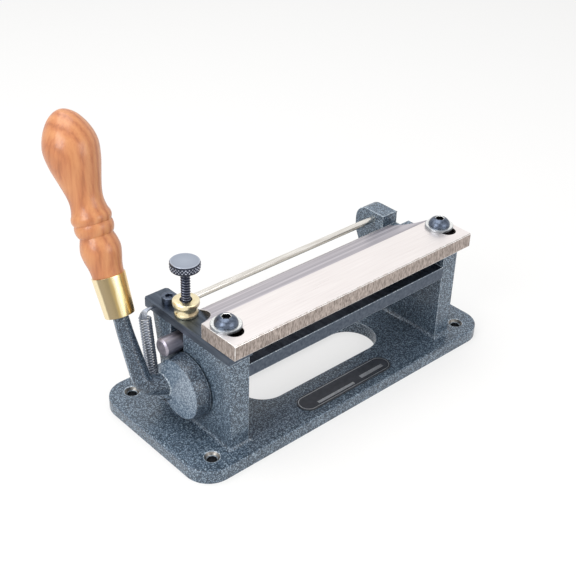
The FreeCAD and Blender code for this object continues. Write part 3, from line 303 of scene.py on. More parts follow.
# bright colour, dark colour, roughness, spacing of the marks, how they are drawn out, depth of the bump
METALS = {
    # almost a mirror, white under the soft boxes
    "tool_steel_surface_ground": ("#F3EDEB", "#ECE5E3", 0.3, 0.5 * MM, (0.03, 1, 1), 0.03),
    # long grey streaks beside the cutting edge
    "tool_steel_bevel_ground": ("#D8D2D8", "#87818D", 0.3, 1.9 * MM, (0.015, 1, 1), 0.05),
    # short upright strokes, dull and warm
    "tool_steel_cross_ground": ("#C6B9B1", "#776C66", 0.36, 0.4 * MM, (1, 1, 0.28), 0.12),
    # a white glint along each broken edge
    "tool_steel_edge": ("#FFFFFF", "#D5CDC8", 0.25, 1.5 * MM, EVEN, 0.05),
    # silky and bright, with faint lines along the rod
    "drill_rod_bright": ("#EFECE6", "#CFCAC2", 0.22, 0.5 * MM, (0.05, 1, 1), 0.03),
    # faint rings round the roller
    "roller_steel_ground": ("#DEDCD8", "#C9C6C1", 0.3, 0.9 * MM, (1, 0.02, 0.02), 0.02),
    # grey and soft, with a wide dull highlight
    "shaft_steel_oiled": ("#B5B0B9", "#8F8A96", 0.42, 0.8 * MM, (0.1, 1, 1), 0.05),
    # blue-black, with a small sharp highlight
    "black_oxide_blued": ("#687180", "#464E5D", 0.34, 0.8 * MM, EVEN, 0.05),
    # flat dark grey, with faint lines from front to rear; on the front rail it is painted shade
    "blackened_bar_steel": ("#5F6874", "#434B58", 0.36, 1.2 * MM, (1, 0.1, 1), 0.05),
    # pale, even and bright; round a screw's hexagon it is a painted highlight
    "zinc_plate_bright": ("#F5F6F4", "#DDDFDE", 0.25, 0.5 * MM, EVEN, 0.03),
    # the same plating, rougher round a washer's edge and darker there as painted shade
    "zinc_plate_edge": ("#9DA1A5", "#888D93", 0.4, 0.8 * MM, EVEN, 0.0),
    # rough and grey-brown where the cutter broke the paint
    "bare_iron_countersunk": ("#8F8C88", "#5B5957", 0.35, 0.6 * MM, EVEN, 0.15),
    # almost black inside a hole, as painted shade
    "bare_iron_bored": ("#3F4247", "#23262B", 0.45, 0.6 * MM, EVEN, 0.15),
    # pale gold with smooth reflections
    "brass_turned_polished": ("#F4EACB", "#E9D8AB", 0.28, 3.0 * MM, EVEN, 0.0),
    # dull brown gold with open pores
    "sintered_bronze": ("#B58A56", "#94703F", 0.4, 0.4 * MM, EVEN, 0.15),
    # mid grey, each turn with its own soft line of light
    "music_wire": ("#AAB0BB", "#969CA8", 0.38, 1.5 * MM, EVEN, 0.05),
}
metals = {name: metal(name, *made) for name, made in METALS.items()}
print(len(metals), "metals")

# %% [markdown]
# ## Bright crests and dark roots
#
# Blackened threads and knurls wear bright on their crests, where fingers and nuts touch, and they carry a
# painted highlight there too; the dark roots are painted shade. Both are turned about an upright axis, so
# the distance from that axis says how deep a point lies. The colour follows that distance, and no map has to
# be painted.


# %% Worn crests
def crest_wear_and_root_shade(name, centre, stops, roughness):
    """Black oxide whose colour follows the distance from an upright axis, as (metres, hex colour) stops."""
    material, tree, shader = finish(name, {"Metallic": 1.0, "Roughness": roughness})
    where = add(tree, "ShaderNodeTexCoord").outputs["Object"]
    out = add(tree, "ShaderNodeVectorMath", {0: where, 1: centre}, operation="SUBTRACT")
    flat = add(tree, "ShaderNodeVectorMath", {0: out.outputs[0], 1: (1, 1, 0)}, operation="MULTIPLY")
    radius = add(tree, "ShaderNodeVectorMath", {0: flat.outputs[0]}, operation="LENGTH")
    reach = stops[-1][0]
    share = add(tree, "ShaderNodeMath", {0: radius.outputs["Value"], 1: reach}, operation="DIVIDE")
    tone = ramp(tree, share.outputs[0], [(place / reach, code) for place, code in stops])
    tree.links.new(tone, shader.inputs["Base Color"])
    return material


print("crest wear follows the distance from an axis")

# %% [markdown]
# ## The handle's own axes
#
# The handle leans to the rear, so anything drawn along it needs axes that lean with it. The Object
# coordinates are moved to the handle's foot, and a Mapping node turns them until the handle's axis is Z.
# Both the wood and the ferrule use them.

# %% Axes along the handle
HANDLE_LEAN = math.radians(23)
HANDLE_FOOT = Vector((-128.0, 36.2, 81.8)) * MM


def along_handle(tree, stretch=(1, 1, 1)):
    """Object coordinates moved and turned so that the handle's axis is the Z axis, then drawn out."""
    where = add(tree, "ShaderNodeTexCoord").outputs["Object"]
    from_foot = add(tree, "ShaderNodeVectorMath", {0: where, 1: HANDLE_FOOT}, operation="SUBTRACT")
    return add(tree, "ShaderNodeMapping", {"Vector": from_foot.outputs[0], "Rotation": (HANDLE_LEAN, 0, 0),
                                           "Scale": stretch}).outputs[0]


print("handle leans", round(math.degrees(HANDLE_LEAN)), "degrees")

# %% [markdown]
# ## Polished ferrule
#
# The ferrule is drawn brass tube, polished along its length. The eye sees pale gold broken by broad dull
# bands that run along the tube; these bands and the brightest streaks are painted reflections. So the colour
# follows the angle about the handle's axis, and a little noise keeps the bands from being ruled lines.

# %% Ferrule brass
# painted reflections: dark and bright bands round the handle's axis
PAINTED_REFLECTION_BANDS = [(0.0, "#CDB277"), (0.16, "#EFDDB4"), (0.285, "#F3E3BC"), (0.305, "#A59577"), (0.4, "#A3916D"),
           (0.432, "#C9AF73"), (0.45, "#F7E8BF"), (0.52, "#EFD493"), (0.55, "#C99A55"), (0.62, "#E2C285"),
           (0.75, "#F3E3BC"), (0.85, "#A6987B"), (1.0, "#CDB277")]

ferrule_brass, tree, shader = finish("brass_tube_handled", {"Metallic": 1.0})
split = add(tree, "ShaderNodeSeparateXYZ", {0: along_handle(tree)})
front = add(tree, "ShaderNodeMath", {0: split.outputs["Y"], 1: -1.0}, operation="MULTIPLY")
angle = add(tree, "ShaderNodeMath", {0: split.outputs["X"], 1: front.outputs[0]}, operation="ARCTAN2")
share = add(tree, "ShaderNodeMath", {0: angle.outputs[0], 1: 1 / (2 * math.pi), 2: 0.5},
            operation="MULTIPLY_ADD")
blur = add(tree, "ShaderNodeTexNoise",
           {"Vector": along_handle(tree, (1, 1, 0.1)), "Scale": 1 / (3 * MM), "Detail": 3.0})
shaken = add(tree, "ShaderNodeMath", {0: blur.outputs["Fac"], 1: 0.03, 2: share.outputs[0]},
             operation="MULTIPLY_ADD")
moved = add(tree, "ShaderNodeMath", {0: shaken.outputs[0], 1: 0.015}, operation="SUBTRACT")
tree.links.new(ramp(tree, moved.outputs[0], PAINTED_REFLECTION_BANDS), shader.inputs["Base Color"])
dull = add(tree, "ShaderNodeMapRange", {"Value": blur.outputs["Fac"], "To Min": 0.32, "To Max": 0.16})
tree.links.new(dull.outputs[0], shader.inputs["Roughness"])
print(ferrule_brass.name, len(PAINTED_REFLECTION_BANDS), "bands")

# %% [markdown]
# ## Turned wood
#
# The handle is a fruit wood such as cherry, turned with the grain along it and lacquered. A lathe cuts
# through the tree's growth rings, and that is what draws the long ovals on the belly of a turned handle. So
# the rings are modelled as they grew: circles about the heart of the tree, which lay beside the handle.
# Cherry rings are soft and low in contrast. Fine streaks run over them, and a clear gloss lies on top.

# %% Turned wood
RING_SPACING = 2.6 * MM
HEART = Vector((36.0, 12.0, 0.0)) * MM
WANDER = 7.0 * MM

turned_wood, tree, shader = finish("cherry_turned_lacquered", {"Roughness": 0.42, "Coat Weight": 0.4,
                                                                "Coat Roughness": 0.16})
grown = along_handle(tree)
slow = add(tree, "ShaderNodeTexNoise", {"Vector": along_handle(tree, (1, 1, 0.35)), "Scale": 1 / (24 * MM),
                                        "Detail": 3.0})
wander = add(tree, "ShaderNodeVectorMath", {0: slow.outputs["Color"], 1: (WANDER, WANDER, 0), 2: grown},
             operation="MULTIPLY_ADD")
from_heart = add(tree, "ShaderNodeVectorMath", {0: wander.outputs[0], 1: HEART}, operation="SUBTRACT")
flat = add(tree, "ShaderNodeVectorMath", {0: from_heart.outputs[0], 1: (1, 1, 0.03)}, operation="MULTIPLY")
distance = add(tree, "ShaderNodeVectorMath", {0: flat.outputs[0]}, operation="LENGTH")
rings = add(tree, "ShaderNodeMath", {0: distance.outputs["Value"], 1: 1 / RING_SPACING},
            operation="MULTIPLY")
phase = add(tree, "ShaderNodeMath", {0: rings.outputs[0], 1: 1.0}, operation="PINGPONG")
streaks = add(tree, "ShaderNodeTexNoise", {"Vector": along_handle(tree, (1, 1, 0.06)),
                                           "Scale": 1 / (2.2 * MM), "Detail": 6.0, "Roughness": 0.65})
grain = add(tree, "ShaderNodeMath", {0: phase.outputs[0], 1: 0.45, 2: streaks.outputs["Fac"]},
            operation="MULTIPLY_ADD")
colour = ramp(tree, grain.outputs[0],
              [(0.4, "#CB8A58"), (0.65, "#C27F4F"), (0.85, "#B87245"), (1.0, "#A8653B")])
tree.links.new(colour, shader.inputs["Base Color"])
bump = add(tree, "ShaderNodeBump",
           {"Height": streaks.outputs["Fac"], "Strength": 0.05, "Distance": 0.1 * MM})
tree.links.new(bump.outputs[0], shader.inputs["Normal"])
print(turned_wood.name)

# %% [markdown]
# ## Plate enamel
#
# The plate on the base is aluminium under black enamel, which gives the eye a dark, even gloss. Its face is
# bare here, with a thin border line and two blank fields.

# %% Plate enamel
plate_enamel, tree, shader = finish("black_enamel_on_aluminium", {"Roughness": 0.3, "Coat Weight": 0.3})
where = add(tree, "ShaderNodeTexCoord").outputs["Object"]
dust = add(tree, "ShaderNodeTexNoise", {"Vector": where, "Scale": 1 / (3 * MM), "Detail": 4.0})
tree.links.new(ramp(tree, dust.outputs["Fac"], [(0.3, "#262B31"), (0.7, "#393F46")]),
               shader.inputs["Base Color"])
plate_metal = metal("aluminium_etched", "#D5D9DC", "#B4BABE", 0.4, 0.6 * MM, EVEN, 0.05)
print(plate_enamel.name)

# %% [markdown]
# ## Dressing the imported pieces
#
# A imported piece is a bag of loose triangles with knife-sharp edges, and no real edge is that sharp. A copy
# is merged, its flat faces are joined, and a narrow bevel breaks each edge so that it catches the light.
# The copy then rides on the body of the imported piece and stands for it.


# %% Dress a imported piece
MERGE_WITHIN = 0.001 * MM
FLAT_WITHIN = math.radians(0.01)
SHARP_OVER = math.radians(30)


def body_of(node):
    """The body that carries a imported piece."""
    return frame["nodes"][node].parent.name.split(":")[1]


def new_piece(name, mesh, materials, body, slot, *stands_for):
    """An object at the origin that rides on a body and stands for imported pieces."""
    piece = bpy.data.objects.new(name, mesh)
    bpy.context.scene.collection.objects.link(piece)
    if not mesh.materials:
        for material in materials:
            mesh.materials.append(material)
    if body:
        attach(piece, body)
    if stands_for:
        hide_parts(*stands_for)
    return piece


def dressed(node, materials, slot, edge, pick=None, cuts=(), edge_highlight=None):
    """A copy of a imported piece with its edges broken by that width.

    The cuts are planes that part its faces, and the pick then gives each face its material.
    """
    shape = bmesh.new()
    shape.from_mesh(frame["nodes"][node].data)
    bmesh.ops.remove_doubles(shape, verts=shape.verts, dist=MERGE_WITHIN)
    for place, across in cuts:
        whole = shape.verts[:] + shape.edges[:] + shape.faces[:]
        bmesh.ops.bisect_plane(shape, geom=whole, plane_co=place, plane_no=across, dist=MERGE_WITHIN)
    shape.normal_update()
    for face in shape.faces:
        face.smooth = True
        face.material_index = pick(face) if pick else 0
    bmesh.ops.dissolve_limit(shape, angle_limit=FLAT_WITHIN, verts=shape.verts, edges=shape.edges,
                             delimit={"MATERIAL"})
    mesh = bpy.data.meshes.new(node + "_dressed")
    shape.to_mesh(mesh)
    shape.free()
    all_materials = materials + [edge_highlight] if edge_highlight else materials
    piece = new_piece(node + "_dressed", mesh, all_materials, body_of(node), slot, node)
    bevel = piece.modifiers.new("broken_edges", "BEVEL")
    bevel.width = edge
    bevel.segments = 2
    bevel.limit_method = "ANGLE"
    bevel.angle_limit = SHARP_OVER
    bevel.use_clamp_overlap = False
    # the bevel faces take the edge material, a painted highlight
    bevel.material = len(materials) if edge_highlight else -1
    weigh = piece.modifiers.new("even_shading", "WEIGHTED_NORMAL")
    weigh.keep_sharp = False
    print(piece.name, len(mesh.polygons), "faces")
    return piece


# %% [markdown]
# ## Castings
#
# The frame was painted whole, and the bolt holes were countersunk through the paint. The front rail lies
# in the blade's shade, so its faces get dark bar steel as painted shade, and the bores are painted near
# black as shade. Each of those faces is picked by where it lies, and gets its own finish.
# The lever's disc has a flat face on which the paint flowed out smoother than on the rough sides. That
# face also carries painted light, and the rest of the lever painted shade.

# %% Frame casting
RAIL_LOW, RAIL_HIGH = 61.0 * MM, 70.5 * MM
RAIL_BACK = -34.7 * MM
UPRIGHT_INNER = 89.8 * MM
BOLT_X, BOLT_Y = 117.5 * MM, 43.5 * MM
SINK_RADIUS = 5.5 * MM
NEAR = 0.1 * MM
# how far a face looks up: on level faces, and at least on a countersink
LEVEL, SLOPED = 0.9, 0.1


def casting_finish(face):
    """0 for paint, 1 for the rail in painted shade, 2 for the bare countersinks and 3 for the bores in
    painted shade.
    """
    middle = face.calc_center_median()
    rail = RAIL_LOW - NEAR < middle.z < RAIL_HIGH + NEAR and middle.y < RAIL_BACK + NEAR
    if rail and abs(middle.x) < UPRIGHT_INNER - NEAR:
        return 1
    bolt = math.hypot(abs(middle.x) - BOLT_X, abs(middle.y) - BOLT_Y) < SINK_RADIUS
    if not bolt or abs(face.normal.z) > LEVEL:
        return 0
    return 2 if face.normal.z > SLOPED else 3


rail_ends = [((side * UPRIGHT_INNER, 0, 0), (1, 0, 0)) for side in (-1, 1)]
rail_sides = [((0, 0, height), (0, 0, 1)) for height in (RAIL_LOW, RAIL_HIGH)]
# the rail's dark bar steel is painted shade from the blade above it
casting_finishes = [casting_enamel, metals["blackened_bar_steel"], metals["bare_iron_countersunk"],
                    metals["bare_iron_bored"]]
dressed("frame_casting", casting_finishes, "hammered_paint", 0.4 * MM, casting_finish,
        rail_ends + rail_sides, highlight_enamel)

# %% Lever and right disc
DISC_FACE = -115.8 * MM
OUTWARD = 0.99


def lever_finish(face):
    """1 for the disc's flat face and 0 for the rest."""
    return 1 if -face.normal.x > OUTWARD and face.calc_center_median().x < DISC_FACE else 0


dressed("lever", [shaded_lever_enamel, lit_disc_face_enamel], "lever_paint", 0.6 * MM, lever_finish,
        edge_highlight=highlight_enamel)
dressed("right_cam", [shaded_lever_enamel], "lever_paint", 0.4 * MM)

# %% [markdown]
# ## Blade
#
# The blade is ground on every side, but not with the same wheel. The flat top is nearly a mirror and shows
# white, the bevel carries long darker marks, and the front and the ends were ground across, which leaves
# short upright strokes.

# %% Blade
BLADE_LEVEL, BEVEL_LEVEL = 0.98, 0.8
BLADE_FINISHES = ["tool_steel_surface_ground", "tool_steel_bevel_ground", "tool_steel_cross_ground"]


def blade_finish(face):
    """0 for the flat top and underside, 1 for the bevel, 2 for the upright sides."""
    if abs(face.normal.z) > BLADE_LEVEL:
        return 0
    return 1 if face.normal.z > BEVEL_LEVEL else 2


dressed("splitting_blade", [metals[name] for name in BLADE_FINISHES], "ground_steel", 0.25 * MM,
        blade_finish, edge_highlight=metals["tool_steel_edge"])

# %% [markdown]
# ## Machined and bought pieces
#
# The rest comes from bar stock or from a catalogue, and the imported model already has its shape. Each piece
# gets its finish and a broken edge, wider on a sawn bar than on a thin ring.

# %% Machined and bought pieces
# piece, finish, slot, width of the broken edge in millimetres
DRESSED = [
    ("stop_bar", "blackened_bar_steel", "blackened_steel", 0.3),
    ("stop_bar_screw", "black_oxide_blued", "black_oxide", 0.25),
    ("guide_rod", "drill_rod_bright", "drill_rod", 0.2),
    ("lever_shaft", "shaft_steel_oiled", "drill_rod", 0.15),
    ("roller_shaft", "shaft_steel_oiled", "drill_rod", 0.15),
    ("retaining_rings", "black_oxide_blued", "black_oxide", 0.1),
    ("roller", "roller_steel_ground", "roller_steel", 0.2),
    ("roller_bushes", "sintered_bronze", "bearing_bronze", 0.1),
    ("lever_shaft_bushes", "sintered_bronze", "bearing_bronze", 0.1),
    ("cam_set_screws", "black_oxide_blued", "black_oxide", 0.1),
    ("cam_washers", "zinc_plate_bright", "zinc_plate", 0.1),
]

for node, finish_name, slot, edge in DRESSED:
    dressed(node, [metals[finish_name]], slot, edge * MM)
dressed("ferrule", [ferrule_brass], "brass", 0.2 * MM)
dressed("name_plate", [plate_enamel], "plate_enamel", 0.1 * MM)

# %% [markdown]
# ## Trees that grow a mesh
#
# A thread, a knurl and a border line are all one small shape repeated by a rule, which is what Geometry
# Nodes are for. One function opens a tree with named inputs. Another sets those inputs on a modifier, lets
# the tree grow, and takes the result as a plain mesh, so that nothing live is left on the piece.

# %% Geometry trees
SOCKETS = {float: "NodeSocketFloat", int: "NodeSocketInt", tuple: "NodeSocketVector"}


def open_tree(name, sizes):
    """A geometry tree with a mesh in and out, a named input for each size, and one for the material."""
    tree = bpy.data.node_groups.new(name, "GeometryNodeTree")
    tree.interface.new_socket("Geometry", in_out="INPUT", socket_type="NodeSocketGeometry")
    for label, value in sizes.items():
        tree.interface.new_socket(label, in_out="INPUT", socket_type=SOCKETS[type(value)])
    tree.interface.new_socket("Material", in_out="INPUT", socket_type="NodeSocketMaterial")
    tree.interface.new_socket("Geometry", in_out="OUTPUT", socket_type="NodeSocketGeometry")
    return tree, add(tree, "NodeGroupInput").outputs


def close_tree(tree, given, *shapes):
    """Join the shapes, make them real, paint them and hand them out."""
    joined = add(tree, "GeometryNodeJoinGeometry")
    for shape in shapes:
        tree.links.new(shape, joined.inputs[0])
    real = add(tree, "GeometryNodeRealizeInstances", {0: joined.outputs[0]})
    painted = add(tree, "GeometryNodeSetMaterial",
                  {"Geometry": real.outputs[0], "Material": given["Material"]})
    smooth = add(tree, "GeometryNodeSetShadeSmooth", {0: painted.outputs[0], "Shade Smooth": False})
    add(tree, "NodeGroupOutput", {0: smooth.outputs[0]})


def count(tree, operation, *values):
    """One step of arithmetic on sockets and numbers."""
    return add(tree, "ShaderNodeMath", dict(enumerate(values)), operation=operation).outputs[0]


def grow(tree, start, material, sizes):
    """The plain mesh that a tree grows from a start mesh and named sizes."""
    holder = bpy.data.objects.new("growing", start)
    bpy.context.scene.collection.objects.link(holder)
    step = holder.modifiers.new("tree", "NODES")
    step.node_group = tree
    wanted = {**sizes, "Material": material}
    for item in tree.interface.items_tree:
        if item.in_out == "INPUT" and item.name in wanted:
            step[item.identifier] = wanted[item.name]
    shown = holder.evaluated_get(bpy.context.evaluated_depsgraph_get())
    mesh = bpy.data.meshes.new_from_object(shown)
    holder.modifiers.remove(step)
    bpy.data.objects.remove(holder)
    return mesh


print("ready to grow threads, knurls and border lines")

# %% [markdown]
# ## Turned shapes
#
# A lathe leaves a shape that is the same all round, so its outline says everything. Each station of the
# outline becomes a ring of points, and faces join each ring to the next. Edges that fold sharply stay crisp.

# %% Lathe and smooth lines
CREASE_OVER = math.radians(35)


def lathe(profile, stand, sides=72):
    """A closed mesh turned from (radius, height) stations about Z and put in its stand.

    A station may add the material of the band above it, and then the number of corners
    where the section isn't round. A profile that starts away from the axis is a ring with a bore.
    """
    shape = bmesh.new()
    rings = []
    for radius, height, *more in profile:
        corners = more[1] if len(more) > 1 else 0
        ring = []
        for step in range(sides if radius > 0 else 1):
            angle = 2 * math.pi * step / sides
            reach = radius
            if corners:
                half_side = math.pi / corners
                reach *= math.cos(half_side) / math.cos(angle % (2 * half_side) - half_side)
            ring.append(shape.verts.new((reach * math.cos(angle), reach * math.sin(angle), height)))
        rings.append(ring)
    if profile[0][0] > 0:
        rings.append(rings[0])
    for low, high, station in zip(rings, rings[1:], profile):
        for step in range(sides):
            after = (step + 1) % sides
            loop = [low[step % len(low)], low[after % len(low)], high[after % len(high)],
                    high[step % len(high)]]
            face = shape.faces.new(list(dict.fromkeys(loop)))
            face.material_index = station[2] if len(station) > 2 else 0
            face.smooth = True
    bmesh.ops.recalc_face_normals(shape, faces=shape.faces)
    for edge in shape.edges:
        edge.smooth = edge.calc_face_angle() < CREASE_OVER
    shape.transform(stand)
    mesh = bpy.data.meshes.new("turned")
    shape.to_mesh(mesh)
    shape.free()
    return mesh


def joined(meshes):
    """One mesh from several."""
    shape = bmesh.new()
    for mesh in meshes:
        shape.from_mesh(mesh)
    whole = bpy.data.meshes.new("joined")
    shape.to_mesh(whole)
    shape.free()
    return whole


def through(points, steps=5):
    """A smooth line through points, with that many steps from each to the next."""
    ends = [points[0] * 2 - points[1], *points, points[-1] * 2 - points[-2]]
    line = []
    for one, two, three, four in zip(ends, ends[1:], ends[2:], ends[3:]):
        for step in range(steps):
            t = step / steps
            line.append((two * 2 + (three - one) * t + (one * 2 - two * 5 + three * 4 - four) * t ** 2
                         + (two * 3 - one - three * 3 + four) * t ** 3) / 2)
    return line + [points[-1]]


print("ready to turn screws, nut and handle")

# %% [markdown]
# ## Screws, washers and lock nut
#
# These are turned pieces. A button head screw is blued, its hexagon is painted dark inside as shade, and
# the broken rim about the hexagon carries a painted highlight. A washer is bright on top, and its edge is
# rougher and painted darker as shade. The nut is brass, and its flange, neck and foot flow together.

# %% Screws and washers
SCREW_SPOTS = [(-95.8, -31.3), (99.4, -31.3)]
SHANK, FIT = 3.97, 0.05
# material slots for painted shade and a painted highlight
PAINTED_SHADE, PAINTED_HIGHLIGHT = 1, 2
HEX_TURN = math.radians(18)

# stations of radius and height in millimetres, then material and corners
screw_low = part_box("blade_screws")[0].z / MM
under, seat = (corner.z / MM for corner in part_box("blade_washers"))
screw_profile = [(0, screw_low), (SHANK, screw_low), (SHANK, seat), (7.3, seat), (7.6, seat + 0.35),
                 (7.6, seat + 0.8), (7.3, seat + 1.7), (6.8, seat + 2.6), (6.05, seat + 3.5),
                 (5.1, seat + 4.3), (3.5, seat + 5, PAINTED_HIGHLIGHT, 6), (3.15, seat + 4.85, PAINTED_SHADE, 6),
                 (3.15, seat + 2.5, PAINTED_SHADE, 6), (0, seat + 2.4, PAINTED_SHADE)]
washer_profile = [(SHANK + FIT, under), (9.85, under, PAINTED_SHADE), (10, under + 0.15, PAINTED_SHADE),
                  (10, seat - 0.3, PAINTED_SHADE), (9.7, seat), (SHANK + FIT, seat)]


def to_metres(profile):
    """The same stations in metres."""
    return [(radius * MM, height * MM, *more) for radius, height, *more in profile]


places = [Matrix.Translation((x * MM, y * MM, 0)) @ Matrix.Rotation(HEX_TURN, 4, "Z")
          for x, y in SCREW_SPOTS]
screws = joined([lathe(to_metres(screw_profile), place) for place in places])
washers = joined([lathe(to_metres(washer_profile), place) for place in places])
# the socket is painted dark as shade, and the rim about it is a painted highlight
screw_finishes = [metals[name] for name in ("black_oxide_blued", "bare_iron_bored", "zinc_plate_bright")]
new_piece("blade_screws_turned", screws, screw_finishes, "frame", "black_oxide", "blade_screws")
# the washers' edges are painted darker as shade
new_piece("blade_washers_turned", washers, [metals["zinc_plate_bright"], metals["zinc_plate_edge"]],
          "frame", "zinc_plate", "blade_washers")
print("screws", len(screws.polygons), "washers", len(washers.polygons), "faces")

# %% Lock nut
low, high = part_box("stop_screw")
stud_centre = ((low.x + high.x) / 2, (low.y + high.y) / 2)
stud_radius = (high.x - low.x) / 2
stud_stand = Matrix.Translation((*stud_centre, 0.0))
NUT_SIDE = [(7.45, 0), (7.75, 0.6), (7.75, 1.8), (7.35, 2.8), (6.95, 4.0), (6.95, 5.4), (7.45, 6.6),
            (8.4, 7.3), (8.8, 8.1), (8.8, 10.0), (8.55, 10.6), (8.1, 10.9)]
nut_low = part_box("lock_nut")[0].z / MM
bore = stud_radius / MM + FIT
nut_profile = [(bore, 0)] + [tuple(spot) for spot in through([Vector(spot) for spot in NUT_SIDE])]
nut_profile += [(bore + 0.9, 10.9, PAINTED_SHADE), (bore, 10.2)]
nut = lathe(to_metres(nut_profile), stud_stand @ Matrix.Translation((0, 0, nut_low * MM)))
# the mouth of the nut's bore is painted near black as shade
new_piece("lock_nut_turned", nut, [metals["brass_turned_polished"], metals["bare_iron_bored"]],
          body_of("lock_nut"), "brass", "lock_nut")
print("nut", len(nut.polygons), "faces")

# %% [markdown]
# ## Threaded stud of the thumb screw
#
# A thread is one ridge wound round a core. A spiral curve with a four-sided profile makes it, half sunk in
# the core. The real pitch is 1.27 mm, twenty threads to the inch. That is too fine for this picture, so it
# is drawn at 1.9 mm.

# %% Threaded stud
STUD_PITCH = 1.9 * MM
THREAD_DEPTH = 0.6 * MM
CORE_UNDER_CREST = 0.9 * THREAD_DEPTH
TIP_CHAMFER = 0.6 * MM

head_low, head_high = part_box("stop_screw_head")
thread_sizes = {"Radius": stud_radius, "Pitch": STUD_PITCH, "Depth": THREAD_DEPTH,
                "Low": low.z + TIP_CHAMFER + THREAD_DEPTH, "High": head_low.z - THREAD_DEPTH,
                "Centre": (*stud_centre, 0.0)}
tree, given = open_tree("screw_thread", thread_sizes)
root = count(tree, "SUBTRACT", given["Radius"], given["Depth"])
rise = count(tree, "SUBTRACT", given["High"], given["Low"])
rounds = count(tree, "DIVIDE", rise, given["Pitch"])
wound = add(tree, "GeometryNodeCurveSpiral", {"Resolution": 20, "Rotations": rounds, "Start Radius": root,
                                              "End Radius": root, "Height": rise})
upright = add(tree, "GeometryNodeSetCurveNormal", {"Curve": wound.outputs[0]}, mode="Z_UP")
ridge = add(tree, "GeometryNodeCurvePrimitiveCircle", {"Resolution": 4, "Radius": given["Depth"]})
thread = add(tree, "GeometryNodeCurveToMesh", {"Curve": upright.outputs[0], "Fill Caps": True,
                                               "Profile Curve": ridge.outputs[0]})
foot = add(tree, "ShaderNodeCombineXYZ", {"Z": given["Low"]})
seat = add(tree, "ShaderNodeVectorMath", {0: foot.outputs[0], 1: given["Centre"]}, operation="ADD")
lifted = add(tree, "GeometryNodeTransform", {"Geometry": thread.outputs[0], "Translation": seat.outputs[0]})
close_tree(tree, given, given["Geometry"], lifted.outputs[0])

core = stud_radius - CORE_UNDER_CREST
stud = lathe([
    (0, low.z), (core - TIP_CHAMFER, low.z), (core, low.z + TIP_CHAMFER), (core, high.z),
    (0, high.z)], stud_stand, 32)
# dark roots are painted shade; the bright crests are wear and painted highlight
thread_steel = crest_wear_and_root_shade("black_oxide_thread", (*stud_centre, 0.0), [
    (0.0, "#555A68"), (stud_radius - THREAD_DEPTH, "#232734"),
    (stud_radius - THREAD_DEPTH * 0.3, "#4A4F5E"), (stud_radius, "#A0A2AC")], 0.34)
stud = grow(tree, stud, thread_steel, thread_sizes)
new_piece("stop_screw_threaded", stud, [thread_steel], "stop_screw", "black_oxide", "stop_screw")
print("thread", round((head_low.z - low.z) / STUD_PITCH), "turns,", len(stud.polygons), "faces")

# %% [markdown]
# ## Knurled head of the thumb screw
#
# A knurl is pressed by two rollers that leave crossed grooves, so the metal between them stands up in small
# pyramids. The pyramids sit on one long line wound round the rim. A turn holds half a pyramid too many, and
# so each row falls between the points of the row below, as on the real rim. They are drawn a little coarse,
# so that they show.

# %% Knurled head
KNURL_POINT = 2.2 * MM
KNURL_TALL = 0.5 * MM
KNURL_INSET = 0.35 * KNURL_POINT
RIM_CHAMFER = 0.3 * MM

rim = (head_high.x - head_low.x) / 2 - KNURL_TALL
around = round(2 * math.pi * rim / KNURL_POINT) + 0.5
knurl_low = head_low.z + RIM_CHAMFER + KNURL_INSET
knurl_rows = (head_high.z - RIM_CHAMFER - KNURL_INSET - knurl_low) / (KNURL_POINT / 2)
knurl_sizes = {"Radius": rim, "Low": knurl_low, "Point": KNURL_POINT, "Tall": KNURL_TALL, "Around": around,
               "Count": int(around * knurl_rows), "Centre": (*stud_centre, 0.0)}
tree, given = open_tree("knurl", knurl_sizes)
places = add(tree, "GeometryNodeMeshLine", {"Count": given["Count"]})
turns = count(tree, "DIVIDE", add(tree, "GeometryNodeInputIndex").outputs[0], given["Around"])
angle = count(tree, "MULTIPLY", turns, 2 * math.pi)
outward = add(tree, "ShaderNodeCombineXYZ",
              {"X": count(tree, "COSINE", angle), "Y": count(tree, "SINE", angle)})
flat = add(tree, "ShaderNodeVectorMath", {0: outward.outputs[0], "Scale": given["Radius"]},
           operation="SCALE")
half_point = count(tree, "DIVIDE", given["Point"], 2.0)
height = add(tree, "ShaderNodeCombineXYZ",
             {"Z": count(tree, "MULTIPLY_ADD", turns, half_point, given["Low"])})
risen = add(tree, "ShaderNodeVectorMath", {0: flat.outputs[0], 1: height.outputs[0]}, operation="ADD")
centred = add(tree, "ShaderNodeVectorMath", {0: risen.outputs[0], 1: given["Centre"]}, operation="ADD")
placed = add(tree, "GeometryNodeSetPosition",
             {"Geometry": places.outputs[0], "Position": centred.outputs[0]})
pyramid = add(tree, "GeometryNodeMeshCone", {"Vertices": 4, "Radius Top": 0.0, "Radius Bottom": half_point,
                                             "Depth": given["Tall"]})
stand = add(tree, "FunctionNodeAxesToRotation", {"Primary Axis": outward.outputs[0],
                                                 "Secondary Axis": (0, 0, 1)},
            primary_axis="Z", secondary_axis="X")
rows = add(tree, "GeometryNodeInstanceOnPoints", {"Points": placed.outputs[0], "Rotation": stand.outputs[0],
                                                  "Instance": pyramid.outputs[0]})
close_tree(tree, given, given["Geometry"], rows.outputs[0])

head = lathe([
    (0, head_low.z), (rim - RIM_CHAMFER, head_low.z), (rim, head_low.z + RIM_CHAMFER),
    (rim, head_high.z - RIM_CHAMFER), (rim - RIM_CHAMFER, head_high.z), (0, head_high.z)], stud_stand)
